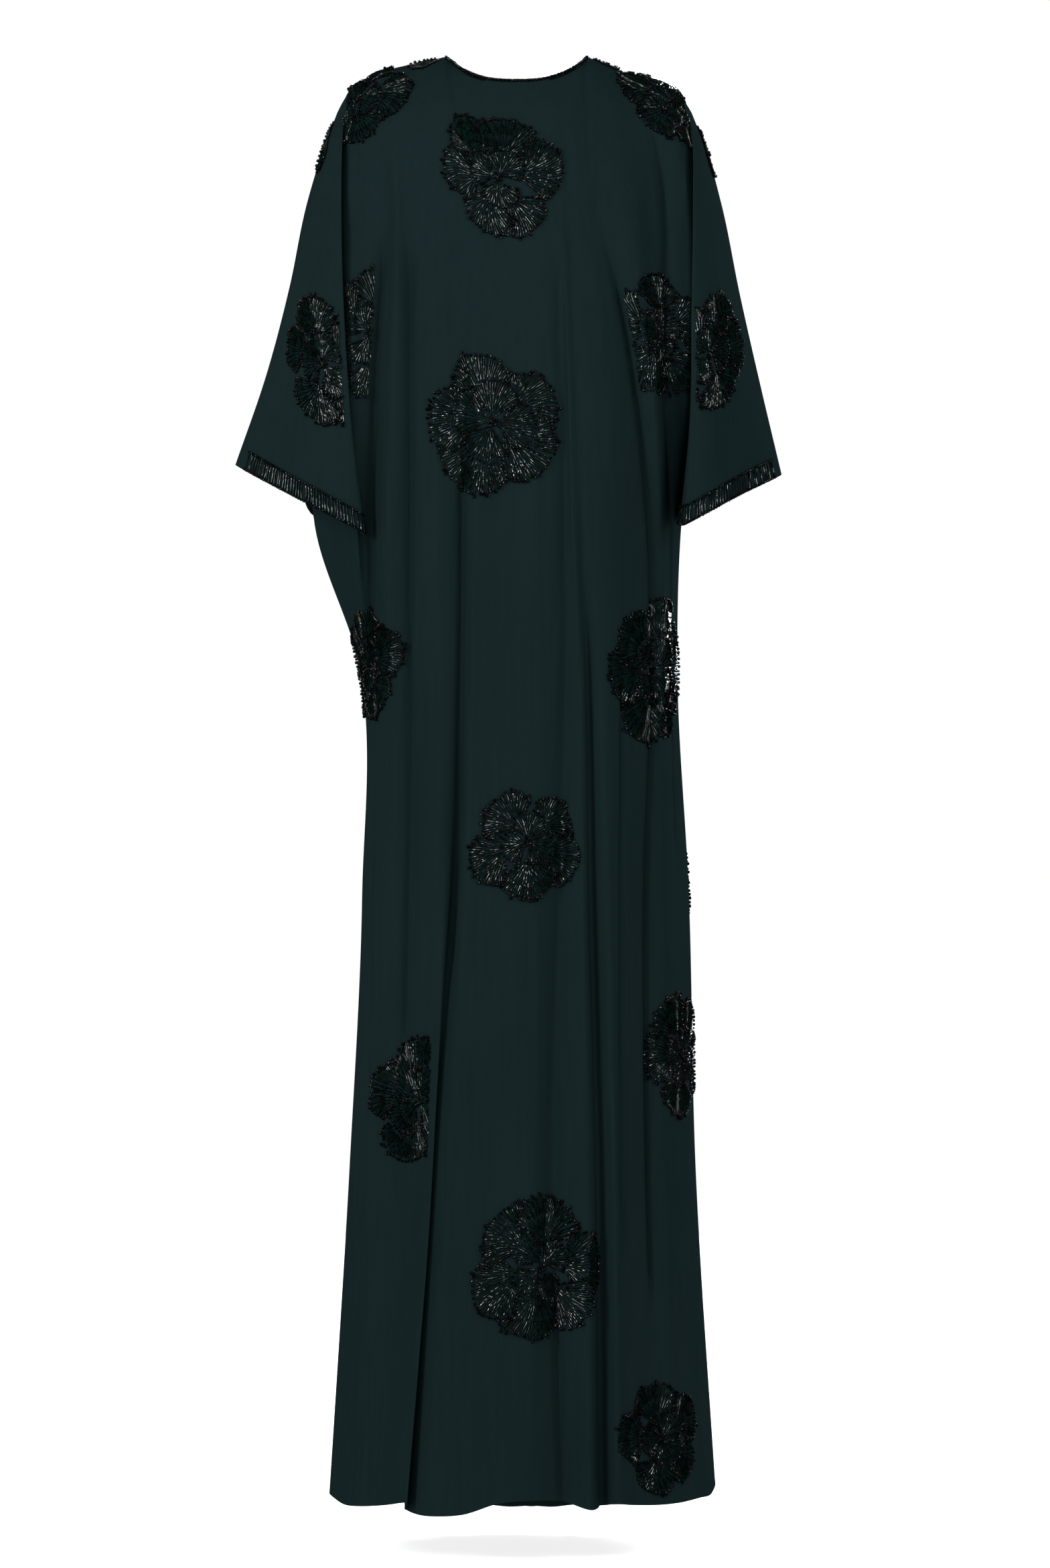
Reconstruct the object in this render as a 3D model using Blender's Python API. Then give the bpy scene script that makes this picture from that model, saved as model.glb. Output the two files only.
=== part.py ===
"""A floor-length kaftan, as it hangs when it is worn.

Two large panels, front and back, are cut in one with their wide sleeves and are
sewn together along the shoulder and the top of the arm, and down each side from
the lower corner of the cuff. Facings finish the neck, bands finish the cuffs,
and thick bead-worked flowers lie on both panels.

The frame: origin midway between the neck points, on the shoulder line. +Z is
up, the front faces -Y, and +X is to the right of someone looking at the front.
"""
import math
from collections import namedtuple

import bpy
import numpy as np
from mathutils import Vector
from mathutils.geometry import delaunay_2d_cdt

MM = 0.001

# Cloth and seams, in millimetres
WALL = 1.5
SEAM_GAP = 0.3
FLOWER_THICKNESS = 1.3
BAND_THICKNESS = 1.2
FACING_THICKNESS = 0.9

# Depths below the shoulder line at which the tables give values, in millimetres.
# The first one, the top of each fold, differs from fold to fold.
CHEST, WAIST, UNDERARM, HIP, THIGH, KNEE, HEM = 150, 319, 481, 643, 882, 1163, 1504
LEVELS = (CHEST, WAIST, UNDERARM, HIP, THIGH, KNEE, HEM)

SHOULDER_LEVEL = 20

# Neck: its size in millimetres, and the power that rounds each neckline
NECK_HALF_WIDTH = 76
NECK_DROP = {"front": 30, "back": 105}
NECK_POWER = {"front": 2.6, "back": 2.2}
SHOULDER_ROUNDING = 130

# Half widths and depths of the body's rounded section, in millimetres, at the
# shoulder and then at LEVELS
Section = namedtuple("Section", "left right front back")
SECTIONS = (
    Section(left=205, right=205, front=92, back=72),
    Section(left=215, right=215, front=118, back=105),
    Section(left=217, right=217, front=140, back=112),
    Section(left=213, right=174, front=142, back=115),
    Section(left=164, right=169, front=140, back=120),
    Section(left=162, right=181, front=142, back=125),
    Section(left=175, right=188, front=148, back=135),
    Section(left=196, right=209, front=158, back=150),
)
ROUNDNESS = 2.3

# The shoulder line: places across, and their depth below the neck points
SHOULDER_ACROSS = (-188, -180, -173, -162, -145, -109, -76, 0, 76, 92, 112, 149, 167, 174, 184)
SHOULDER_DOWN = (58, 41, 32, 24, 15, 7, 0, -4, 0, 7, 15, 24, 32, 41, 58)

# A fold is a crest or a trough that runs from the top edge to the hem: where it
# is across the garment at its top and at LEVELS, how far it stands out of the
# rounded section at LEVELS, and how far the hem is lifted there.
Fold = namedtuple("Fold", "name across out lift")
FRONT_FOLDS = (
    Fold("side_left", (-176, -191, -193, -213, -164, -162, -175, -196), (0, 0, 0, 0, 0, 0, 0), -3),
    Fold("crest_1", (-169, -165, -163, -173, -158, -155, -168, -190), (9, 8, -30, 0, 2, 2, 4), -2),
    Fold("trough_1", (-157, -136, -145, -151, -151, -149, -158, -178), (-11, -13, -13, -5, -2, -3, -4), -7),
    Fold("crest_2", (-138, -124, -127, -130, -134, -140, -147, -160), (4, 4, 5, 5, 6, 5, 6), -5),
    Fold("trough_2", (-120, -111, -110, -110, -112, -115, -122, -138), (-4, -4, -4, -5, -5, -5, -6), -3),
    Fold("crest_3", (-98, -86, -84, -85, -84, -83, -87, -115), (2, 3, 3, 4, 6, 10, 13), 3),
    Fold("trough_3", (-76, -57, -56, -58, -58, -68, -91, -117), (0, -2, -5, -7, -10, -20, -26), -7),
    Fold("crest_4", (-57, -40, -40, -41, -44, -52, -70, -92), (2, 3, 4, 4, 5, 5, 5), -10),
    Fold("middle_1", (-29, -20, -20, -20, -22, -28, -40, -55), (2, 2, 2, 1, 1, 2, 3), -8),
    Fold("middle_2", (-2, 5, 5, 4, 3, -2, -8, -20), (0, 0, 0, 0, 0, 1, 0), 3),
    Fold("middle_3", (18, 22, 23, 24, 26, 22, 18, 12), (1, 1, 1, 1, 0, -1, -4), 6),
    Fold("trough_4", (30, 34, 36, 40, 50, 52, 47, 50), (0, -1, -1, -2, -3, -7, -11), 4),
    Fold("crest_5", (38, 41, 44, 49, 62, 66, 68, 71), (1, 1, 2, 2, 3, 5, 8), -3),
    Fold("trough_5", (47, 48, 52, 58, 74, 79, 88, 91), (-3, -6, -7, -8, -9, -13, -17), -1),
    Fold("crest_6", (56, 60, 63, 69, 86, 93, 101, 104), (3, 4, 5, 5, 5, 6, 7), 2),
    Fold("middle_4", (65, 72, 90, 104, 113, 114, 119, 125), (1, 1, 2, 2, 1, 1, 1), 0),
    Fold("trough_6", (76, 84, 117, 137, 140, 136, 138, 147), (-4, -5, -5, -5, -4, -4, -4), -2),
    Fold("crest_7", (96, 114, 138, 151, 153, 153, 158, 170), (4, 5, 5, 3, 4, 4, 4), -1),
    Fold("trough_7", (132, 157, 155, 161, 162, 169, 176, 190), (-9, -11, -7, -3, -3, -3, -4), 0),
    Fold("crest_8", (158, 174, 178, 166, 167, 178, 184, 202), (8, 8, -5, 1, 1, 1, 2), 1),
    Fold("side_right", (176, 193, 195, 174, 169, 181, 188, 209), (0, 0, 0, 0, 0, 0, 0), 7),
)
BACK_FOLDS = (
    Fold("side_left", (-176, -191, -193, -213, -164, -162, -175, -196), (0, 0, 0, 0, 0, 0, 0), -3),
    Fold("crest_1", (-169, -172, -170, -178, -158, -155, -168, -189), (6, 6, -16, 1, 1, 2, 4), -9),
    Fold("trough_1", (-157, -150, -151, -158, -150, -148, -157, -176), (-8, -9, -8, -5, -4, -4, -6), -13),
    Fold("crest_2", (-138, -132, -132, -136, -134, -136, -143, -158), (4, 5, 5, 6, 6, 6, 7), -20),
    Fold("trough_2", (-120, -114, -112, -112, -113, -116, -121, -134), (-4, -5, -6, -7, -8, -10, -14), -21),
    Fold("crest_3", (-98, -94, -92, -91, -92, -95, -100, -112), (3, 4, 4, 5, 6, 7, 9), -26),
    Fold("trough_3", (-76, -72, -68, -66, -67, -70, -76, -86), (-1, -3, -5, -6, -7, -8, -10), -27),
    Fold("crest_4", (-57, -50, -46, -44, -45, -48, -52, -60), (1, 3, 4, 4, 5, 6, 7), -33),
    Fold("middle_1", (-29, -26, -24, -24, -24, -25, -28, -34), (0, 0, 0, -1, -2, -4, -8), -32),
    Fold("middle_2", (-2, -2, -3, -4, -4, -4, -5, -8), (0, 1, 1, 2, 3, 4, 6), -36),
    Fold("middle_3", (18, 17, 17, 16, 16, 16, 16, 16), (0, 0, -1, -2, -4, -7, -12), -33),
    Fold("trough_4", (30, 30, 31, 32, 34, 36, 37, 38), (0, 1, 2, 2, 3, 4, 6), -36),
    Fold("crest_5", (38, 44, 46, 48, 50, 54, 56, 60), (1, 0, 0, 0, 0, 1, 1), -33),
    Fold("trough_5", (47, 56, 60, 63, 66, 70, 74, 80), (-1, -4, -6, -7, -8, -9, -12), -30),
    Fold("crest_6", (56, 68, 74, 78, 82, 88, 92, 99), (1, 2, 4, 5, 6, 6, 7), -31),
    Fold("middle_4", (65, 82, 92, 98, 102, 108, 112, 120), (0, 0, 0, 0, -1, -2, -4), -27),
    Fold("trough_6", (76, 100, 114, 118, 121, 126, 130, 140), (0, 2, 3, 4, 5, 5, 6), -24),
    Fold("crest_7", (96, 122, 134, 136, 137, 143, 148, 160), (1, 1, 0, -1, -2, -3, -6), -17),
    Fold("trough_7", (132, 148, 155, 153, 152, 160, 166, 180), (-7, -8, -6, -3, 1, 2, 4), -10),
    Fold("crest_8", (158, 174, 176, 167, 163, 174, 180, 197), (7, 6, 3, 1, 0, -1, -2), -3),
    Fold("side_right", (176, 193, 195, 174, 169, 181, 188, 209), (0, 0, 0, 0, 0, 0, 0), 7),
)
FIRST_NECK_FOLD = "trough_3"
LAST_NECK_FOLD = "trough_6"

# Lines down each sleeve, at these shares of its length: places across, out
# towards the viewer (front) or away (back), and the depths of both ends
SLEEVE_SHARES = (0, 0.1, 0.25, 0.5, 0.75, 1)
Line = namedtuple("Line", "name across y start end")
OVERARM = {
    "left": Line("overarm", (-188, -202, -219, -238, -262, -293), (0, -1, -4, -14, -24, -34), 58, 430),
    "right": Line("overarm", (184, 199, 215, 234, 255, 277), (0, -1, -4, -14, -24, -34), 58, 440),
}
FRONT_SLEEVE = {
    "left": (
        Line("sleeve_middle", (-184, -195, -204, -215, -223, -232), (0, -44, -68, -86, -96, -94), 50, 465),
        Line("sleeve_edge", (-180, -181, -181, -178, -170, -156), (0, -60, -94, -113, -119, -113), 43, 505),
    ),
    "right": (
        Line("sleeve_middle", (181, 192, 201, 211, 220, 228), (0, -44, -68, -86, -96, -94), 53, 466),
        Line("sleeve_edge", (178, 183, 183, 181, 180, 173), (0, -60, -94, -113, -119, -113), 48, 496),
    ),
}
BACK_SLEEVE = {
    "left": (
        Line("sleeve_middle", (-184, -196, -207, -222, -238, -262), (0, 30, 48, 58, 58, 34), 50, 438),
        Line("sleeve_edge", (-180, -186, -192, -200, -208, -228), (0, 40, 62, 70, 64, 42), 43, 456),
    ),
    "right": (
        Line("sleeve_middle", (181, 194, 206, 219, 233, 246), (0, 30, 48, 58, 58, 34), 53, 446),
        Line("sleeve_edge", (178, 186, 193, 200, 205, 206), (0, 40, 62, 70, 64, 42), 48, 462),
    ),
}

# How finely the solids follow the folds
STEPS_PER_FOLD = 2
ROWS_TO_UNDERARM = 8
ROWS_BELOW = 11
ROW_CROWDING = 1.25

# Bead-worked flowers: place across and down, size, petals and turn, and the
# lines of the panel, if any, between which a flower stays
Flower = namedtuple("Flower", "name panel across down radius petals turn first last",
                    defaults=("overarm_left", "overarm_right"))
FLOWERS = (
    Flower("flower_chest", "front", -20, 136, 68, 6, 10),
    Flower("flower_waist", "front", -24, 390, 74, 5, 30),
    Flower("flower_shoulder_left", "front", -166, 48, 60, 5, 55, "side_left"),
    Flower("flower_arm_left", "front", -201, 97, 29, 4, 0, last="sleeve_edge_left"),
    Flower("flower_collar_left", "front", -93, 7, 17, 4, 45, last="trough_3"),
    Flower("flower_shoulder_right", "front", 164, 52, 58, 5, 15, last="side_right"),
    Flower("flower_arm_right", "front", 201, 101, 26, 4, 0, "sleeve_edge_right"),
    Flower("flower_collar_right", "front", 91, 7, 15, 4, 45, "trough_6"),
    Flower("flower_sleeve_left", "front", -199, 328, 68, 5, 40, last="sleeve_edge_left"),
    Flower("flower_side_left", "front", -152, 297, 70, 5, 0, "side_left", "trough_1"),
    Flower("flower_side_right", "front", 146, 300, 68, 5, 20, "trough_6", "side_right"),
    Flower("flower_sleeve_right", "front", 201, 321, 62, 5, 65, "sleeve_edge_right"),
    Flower("flower_hip_left", "front", -156, 641, 62, 5, 12),
    Flower("flower_hip_right", "front", 140, 643, 78, 6, 0),
    Flower("flower_thigh", "front", 13, 821, 60, 5, 50),
    Flower("flower_knee_left", "front", -100, 1088, 64, 5, 25, last="crest_3"),
    Flower("flower_knee_right", "front", 170, 1046, 66, 5, 45),
    Flower("flower_lower_middle", "front", 27, 1259, 76, 6, 15),
    Flower("flower_hem_right", "front", 150, 1441, 58, 5, 35),
    Flower("flower_back_upper", "back", 12, 215, 66, 6, 20),
    Flower("flower_back_shoulder_left", "back", -110, 42, 48, 5, 35, last="trough_3"),
    Flower("flower_back_shoulder_right", "back", 110, 42, 48, 5, 5, "trough_6"),
    Flower("flower_back_waist", "back", -70, 430, 68, 5, 10),
    Flower("flower_back_hip", "back", 84, 640, 68, 6, 0),
    Flower("flower_back_side", "back", 170, 873, 54, 5, 40),
    Flower("flower_back_thigh", "back", -100, 900, 64, 5, 60),
    Flower("flower_back_knee", "back", 42, 1110, 68, 5, 30),
    Flower("flower_back_lower", "back", -84, 1330, 66, 6, 5),
)
POINTS_PER_PETAL = 4
PETAL_NOTCH = 0.24
PETAL_FULLNESS = 0.6
FOLD_MARGIN = 0.55

# The search for a flower's centre: samples in each cell, how near is enough, and
# how much a place nearer the viewer is worth
SEARCH_STEPS = 8
SEARCH_REACH = 5
NEARER_IS_BETTER = 0.001

# Shares and distances that count as nothing
NO_SHARE = 1e-9
NO_STEP = 1e-6
NO_CELL = 1e-5
SAME_PLACE = 1e-3

# Bands and facings, in millimetres down from the edge that they finish, and how
# far in columns or rows their outlines stay off a line of the panel's grid
FACING_DEPTH = 18
BAND_DEPTH = 20
INSET = 0.02

# Plain materials: linear colour, and roughness
CLOTH_LOOK = (0.011, 0.024, 0.028), 0.75
BEAD_LOOK = (0.006, 0.011, 0.010), 0.2
FACING_LOOK = (0.56, 0.42, 0.30), 0.7
SHARP_DEGREES = 50


def clear_scene():
    for item in list(bpy.data.objects):
        bpy.data.objects.remove(item, do_unlink=True)


def smooth(places, values, at):
    """A smooth curve through a table's values, read at the places asked for."""
    places = np.asarray(places, float)
    values = np.asarray(values, float)
    slopes = np.gradient(values, places)
    at = np.clip(np.asarray(at, float), places[0], places[-1])
    cell = np.clip(np.searchsorted(places, at, side="right") - 1, 0, len(places) - 2)
    width = places[cell + 1] - places[cell]
    share = (at - places[cell]) / width
    rise = values[cell + 1] - values[cell]
    start, end = slopes[cell] * width, slopes[cell + 1] * width
    return (values[cell] + share * start
            + share ** 2 * (3 * rise - 2 * start - end)
            + share ** 3 * (start + end - 2 * rise))


def shoulder_depth(across):
    return np.interp(across, SHOULDER_ACROSS, SHOULDER_DOWN)


def top_depth(across, panel):
    """Depth of a panel's top edge: the shoulder line, or the neckline within it."""
    if abs(across) >= NECK_HALF_WIDTH:
        return float(shoulder_depth(across))
    return NECK_DROP[panel] * (1 - (abs(across) / NECK_HALF_WIDTH) ** NECK_POWER[panel])


def section_value(field, depth):
    values = [getattr(section, field) for section in SECTIONS]
    return smooth((SHOULDER_LEVEL,) + LEVELS, values, depth)


def rounded_depth(across, depth, panel):
    """How far the rounded section reaches forward or back at a place."""
    half = np.where(across < 0, section_value("left", depth), section_value("right", depth))
    share = np.clip(np.abs(across) / half, 0, 1)
    roundness = (1 - share ** ROUNDNESS) ** (1 / ROUNDNESS)
    drop = np.clip((depth - shoulder_depth(across)) / SHOULDER_ROUNDING, 0, 1)
    shoulder = np.sqrt(1 - (1 - drop) ** 2)
    return section_value(panel, depth) * roundness * shoulder


def row_shares():
    upper = (np.arange(ROWS_TO_UNDERARM + 1) / ROWS_TO_UNDERARM) ** ROW_CROWDING
    lower = np.arange(1, ROWS_BELOW + 1) / ROWS_BELOW
    return upper, lower


def body_line(fold, panel):
    """The points of one fold, from the top edge to the hem."""
    upper, lower = row_shares()
    top = top_depth(fold.across[0], panel)
    hem = HEM - fold.lift
    depth = np.concatenate([top + (UNDERARM - top) * upper, UNDERARM + (hem - UNDERARM) * lower])
    levels = (top,) + LEVELS
    across = smooth(levels, fold.across, depth)
    out = rounded_depth(across, depth, panel) + smooth(levels, (0,) + fold.out, depth)
    toward = -1 if panel == "front" else 1
    return np.stack([across, toward * out, -depth], axis=1)


def sleeve_line(line):
    """The points of one line down a sleeve, from the shoulder to the cuff."""
    shares, _ = row_shares()
    across = smooth(SLEEVE_SHARES, line.across, shares)
    y = smooth(SLEEVE_SHARES, line.y, shares)
    depth = line.start + (line.end - line.start) * shares
    return np.stack([across, y, -depth], axis=1)


def spline(before, start, end, after, share):
    """A point between start and end, on the curve through all four."""
    return 0.5 * (2 * start + (end - before) * share
                  + (2 * before - 5 * start + 4 * end - after) * share ** 2
                  + (3 * start - before - 3 * end + after) * share ** 3)


def columns(lines, before, after):
    """Every column between the lines, with the lines themselves among them."""
    chain = [before] + list(lines) + [after]
    found = []
    for index in range(1, len(chain) - 2):
        for step in range(STEPS_PER_FOLD):
            share = step / STEPS_PER_FOLD
            found.append(spline(*chain[index - 1:index + 3], share))
    found.append(lines[-1])
    return np.stack(found, axis=1)


def in_left_half(column, width):
    """Cells are split one way in the left half and the other way in the right."""
    return column < width // 2


class Panel:
    """One panel's outer surface: a grid of points with sleeves in its upper rows."""

    def __init__(self, name, folds, sleeves, other_folds, other_sleeves):
        body = [body_line(fold, name) for fold in folds]
        far = "back" if name == "front" else "front"
        far_body = [body_line(fold, far) for fold in (other_folds[1], other_folds[-2])]
        rows = ROWS_TO_UNDERARM + 1
        left = [sleeve_line(OVERARM["left"])] + [sleeve_line(line) for line in sleeves["left"]]
        right = [sleeve_line(line) for line in reversed(sleeves["right"])]
        right.append(sleeve_line(OVERARM["right"]))
        upper_lines = left + [line[:rows] for line in body] + right
        upper = columns(upper_lines, sleeve_line(other_sleeves["left"][0]),
                        sleeve_line(other_sleeves["right"][0]))
        lower = columns([line[rows - 1:] for line in body],
                        far_body[0][rows - 1:], far_body[1][rows - 1:])
        self.name = name
        self.side = len(left) * STEPS_PER_FOLD
        self.rows, self.width = len(body[0]), upper.shape[1]
        self.points = np.full((self.rows, self.width, 3), np.nan)
        self.points[:rows] = upper
        self.points[rows:, self.side:self.width - self.side] = lower[1:]
        self.points *= MM
        names = ["overarm_left", "sleeve_middle_left", "sleeve_edge_left"]
        names += [fold.name for fold in folds]
        names += ["sleeve_edge_right", "sleeve_middle_right", "overarm_right"]
        self.column = {place: index * STEPS_PER_FOLD for index, place in enumerate(names)}
        self.neck = self.column[FIRST_NECK_FOLD], self.column[LAST_NECK_FOLD]
        self.normals = None

    def cells(self):
        for row in range(self.rows - 1):
            margin = 0 if row < ROWS_TO_UNDERARM else self.side
            for column in range(margin, self.width - 1 - margin):
                yield row, column

    def triangles(self):
        """Corners of both triangles of each cell, wound to face outwards."""
        found = []
        for row, column in self.cells():
            a, b = (row, column), (row, column + 1)
            c, d = (row + 1, column + 1), (row + 1, column)
            if in_left_half(column, self.width):
                found += [(a, d, c), (a, c, b)]
            else:
                found += [(a, d, b), (b, d, c)]
        if self.name == "back":
            found = [tuple(reversed(corners)) for corners in found]
        return found

    def summed_normals(self):
        total = np.zeros_like(self.points)
        for corners in self.triangles():
            a, b, c = (self.points[corner] for corner in corners)
            face = np.cross(b - a, c - a)
            for corner in corners:
                total[corner] += face
        return total

    def seam_places(self):
        """Places on the seams, each with its neighbour inside the panel."""
        found = {}
        for column in range(self.width):
            if not self.neck[0] < column < self.neck[1]:
                found[(0, column)] = (1, min(max(column, 1), self.width - 2))
        for row in range(1, ROWS_TO_UNDERARM + 1):
            found[(row, 0)] = (row, 1)
            found[(row, self.width - 1)] = (row, self.width - 2)
        for row in range(ROWS_TO_UNDERARM, self.rows):
            found[(row, self.side)] = (row, self.side + 1)
            found[(row, self.width - 1 - self.side)] = (row, self.width - 2 - self.side)
        return found


def join_panels(front, back):
    """Give both panels matching seam normals, and part them by the seam gap."""
    for place in front.seam_places():
        back.points[place] = front.points[place]
    sums = {panel: panel.summed_normals() for panel in (front, back)}
    for place in front.seam_places():
        both = sums[front][place] + sums[back][place]
        sums[front][place] = both
        sums[back][place] = both
    for panel in (front, back):
        length = np.linalg.norm(sums[panel], axis=2, keepdims=True)
        panel.normals = sums[panel] / np.where(length > 0, length, 1)
        shifted = panel.points.copy()
        for place, inside in panel.seam_places().items():
            along = panel.points[inside] - panel.points[place]
            normal = panel.normals[place]
            along -= normal * np.dot(along, normal)
            shifted[place] += along / np.linalg.norm(along) * SEAM_GAP / 2 * MM
        panel.points = shifted


def solid(name, outer, inner, triangles, material, collection):
    """A closed solid between two like sheets of points, with its edge closed."""
    count = len(outer)
    edges = {}
    for a, b, c in triangles:
        for edge in ((a, b), (b, c), (c, a)):
            edges[edge] = True
    faces = [tuple(face) for face in triangles]
    faces += [(c + count, b + count, a + count) for a, b, c in triangles]
    for start, end in edges:
        if (end, start) in edges:
            continue
        if outer[start][2] > outer[end][2]:
            faces += [(end, start, end + count), (start, start + count, end + count)]
        else:
            faces += [(end, start, start + count), (end, start + count, end + count)]
    mesh = bpy.data.meshes.new(name)
    mesh.from_pydata([tuple(point) for point in np.concatenate([outer, inner])], [], faces)
    mesh.update()
    mesh.shade_smooth()
    mesh.set_sharp_from_angle(angle=math.radians(SHARP_DEGREES))
    mesh.materials.append(material)
    item = bpy.data.objects.new(name, mesh)
    collection.objects.link(item)
    return item


def wall(panel, material, collection):
    """A panel's cloth: its outer surface and the same points moved in."""
    number = {}
    for corners in panel.triangles():
        for corner in corners:
            number.setdefault(corner, len(number))
    places = tuple(np.array(list(number)).T)
    outer = panel.points[places]
    inner = outer - panel.normals[places] * WALL * MM
    triangles = [tuple(number[corner] for corner in corners) for corners in panel.triangles()]
    return solid(panel.name, outer, inner, triangles, material, collection)


def sheet_value(grid, u, v):
    """A value between a grid's corners, on the triangle that the place is in."""
    row = min(int(v), grid.shape[0] - 2)
    column = min(int(u), grid.shape[1] - 2)
    along, down = u - column, v - row
    if in_left_half(column, grid.shape[1]):
        if along >= down:
            shares = {(0, 0): 1 - along, (0, 1): along - down, (1, 1): down}
        else:
            shares = {(0, 0): 1 - down, (1, 0): down - along, (1, 1): along}
    elif along + down <= 1:
        shares = {(0, 0): 1 - along - down, (0, 1): along, (1, 0): down}
    else:
        shares = {(1, 1): along + down - 1, (0, 1): 1 - down, (1, 0): 1 - along}
    return sum(grid[row + r, column + c] * share for (r, c), share in shares.items()
               if share > NO_SHARE)


def turned_left(places, ring):
    """A ring of indices, reversed where it runs clockwise."""
    area = sum(places[a][0] * places[b][1] - places[b][0] * places[a][1]
               for a, b in zip(ring, ring[1:] + ring[:1]))
    return ring if area > 0 else ring[::-1]


def patch(name, panel, outline, low, high, material, collection):
    """A thin solid on a panel, within an outline given in columns and rows.

    It is cut where the panel's own triangles are, so it lies at an even height
    from low to high over the cloth, in millimetres. A negative height is inside.
    """
    rows = [place[1] for place in outline]
    ends = [place[0] for place in outline]
    number, faces = {}, []
    for corners in panel.triangles():
        if (min(c[0] for c in corners) <= max(rows) and max(c[0] for c in corners) >= min(rows)
                and min(c[1] for c in corners) <= max(ends) and max(c[1] for c in corners) >= min(ends)):
            faces.append([number.setdefault(corner, len(number)) for corner in corners])
    flat = [(column, row) for row, column in number]
    faces.append(list(range(len(flat), len(flat) + len(outline))))
    flat += outline
    rings = [turned_left(flat, face) for face in faces]
    found = delaunay_2d_cdt([Vector(place) for place in flat], [], rings, 1, NO_CELL)
    places, triangles, origins = found[0], found[2], found[5]
    kept = [tuple(face) for face, origin in zip(triangles, origins)
            if len(faces) - 1 in origin and len(origin) > 1]
    used = sorted({index for face in kept for index in face})
    order = {index: position for position, index in enumerate(used)}
    points = np.array([sheet_value(panel.points, *places[index]) for index in used])
    normals = np.array([sheet_value(panel.normals, *places[index]) for index in used])
    turn = -1 if panel.name == "front" else 1
    triangles = [tuple(order[index] for index in face)[::turn] for face in kept]
    return solid(name, points + normals * high * MM, points + normals * low * MM,
                 triangles, material, collection)


def find_place(panel, across, down):
    """Column and row of the outermost place on a panel at a point, seen flat on."""
    corners = panel.points[:-1, :-1], panel.points[:-1, 1:], panel.points[1:, :-1], panel.points[1:, 1:]
    best = None
    for along, drop in np.ndindex(SEARCH_STEPS, SEARCH_STEPS):
        u, v = along / SEARCH_STEPS, drop / SEARCH_STEPS
        shares = (1 - u) * (1 - v), u * (1 - v), (1 - u) * v, u * v
        points = sum(corner * share for corner, share in zip(corners, shares)) / MM
        error = np.hypot(points[..., 0] - across, points[..., 2] + down)
        cost = np.maximum(error, SEARCH_REACH) - np.abs(points[..., 1]) * NEARER_IS_BETTER
        row, column = np.unravel_index(np.nanargmin(cost), cost.shape)
        if best is None or cost[row, column] < best[0]:
            best = cost[row, column], column + u, row + v
    return best[1], best[2]


def row_points(panel, v):
    row = min(int(v), panel.rows - 2)
    share = v - row
    return panel.points[row] * (1 - share) + panel.points[row + 1] * share


def lengths(points):
    """Distance along a chain of points, which may have gaps at its ends."""
    steps = np.linalg.norm(np.diff(points, axis=0), axis=1)
    return np.concatenate([[0], np.cumsum(np.nan_to_num(steps))])


def cloth_place(panel, centre, right, up):
    """Column and row at a distance from a centre, measured along the cloth."""
    u0, v0 = centre
    rows = np.arange(panel.rows)
    line = np.array([sheet_value(panel.points, u0, row) for row in rows])
    down = lengths(line)
    v = float(np.interp(np.interp(v0, rows, down) - up * MM, down, rows))
    count = np.arange(panel.width)
    along = lengths(row_points(panel, v))
    along = along + np.linspace(0, NO_STEP, len(along))
    u = float(np.interp(np.interp(u0, count, along) + right * MM, along, count))
    return u, v


def flower_outline(panel, flower):
    """A flower's outline, its petals parted by notches, laid along the cloth."""
    centre = find_place(panel, flower.across, flower.down)
    count = flower.petals * POINTS_PER_PETAL
    outline = []
    for index in range(count):
        angle = 2 * math.pi * index / count
        lobe = abs(math.cos(flower.petals * angle / 2)) ** PETAL_FULLNESS
        radius = flower.radius * (1 - PETAL_NOTCH * (1 - lobe))
        turned = angle + math.radians(flower.turn)
        u, v = cloth_place(panel, centre, radius * math.cos(turned), radius * math.sin(turned))
        first, last = panel.column[flower.first], panel.column[flower.last]
        outline.append((min(max(u, first + FOLD_MARGIN), last - FOLD_MARGIN), v))
    return tidy_outline(outline)


def tidy_outline(outline):
    """Leave out points that fell on the one before them at a panel's edge."""
    return [place for place, last in zip(outline, outline[-1:] + outline[:-1])
            if math.dist(place, last) > SAME_PLACE]


def strip_outline(left, right, top, bottom):
    return [(left, top), (right, top), (right, bottom), (left, bottom)]


def make_facings(panels, material, collection):
    """The facing inside the neck, front and back, which shows at the edge."""
    for panel in panels:
        left, right = panel.neck
        middle = (left + right) // 2
        first_row = np.linalg.norm(panel.points[1, middle] - panel.points[0, middle]) / MM
        outline = strip_outline(left + INSET, right - INSET, -INSET, FACING_DEPTH / first_row)
        low = -(WALL + SEAM_GAP + FACING_THICKNESS)
        patch("neck_facing_" + panel.name, panel, outline, low, -(WALL + SEAM_GAP),
              material, collection)


def make_cuff_bands(panels, material, collection):
    """The beaded band round each cuff, with one piece on each panel."""
    for panel in panels:
        last = ROWS_TO_UNDERARM
        for side, left in (("left", 0), ("right", panel.width - 1 - panel.side)):
            column = left + panel.side // 2
            last_row = panel.points[last, column] - panel.points[last - 1, column]
            top = last - BAND_DEPTH * MM / np.linalg.norm(last_row)
            ends = (left - INSET, left + panel.side - 1 - INSET)
            if side == "right":
                ends = (left + 1 + INSET, left + panel.side + INSET)
            outline = strip_outline(*ends, top, last + INSET)
            patch("cuff_band_%s_%s" % (side, panel.name), panel, outline, SEAM_GAP,
                  SEAM_GAP + BAND_THICKNESS, material, collection)


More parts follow.
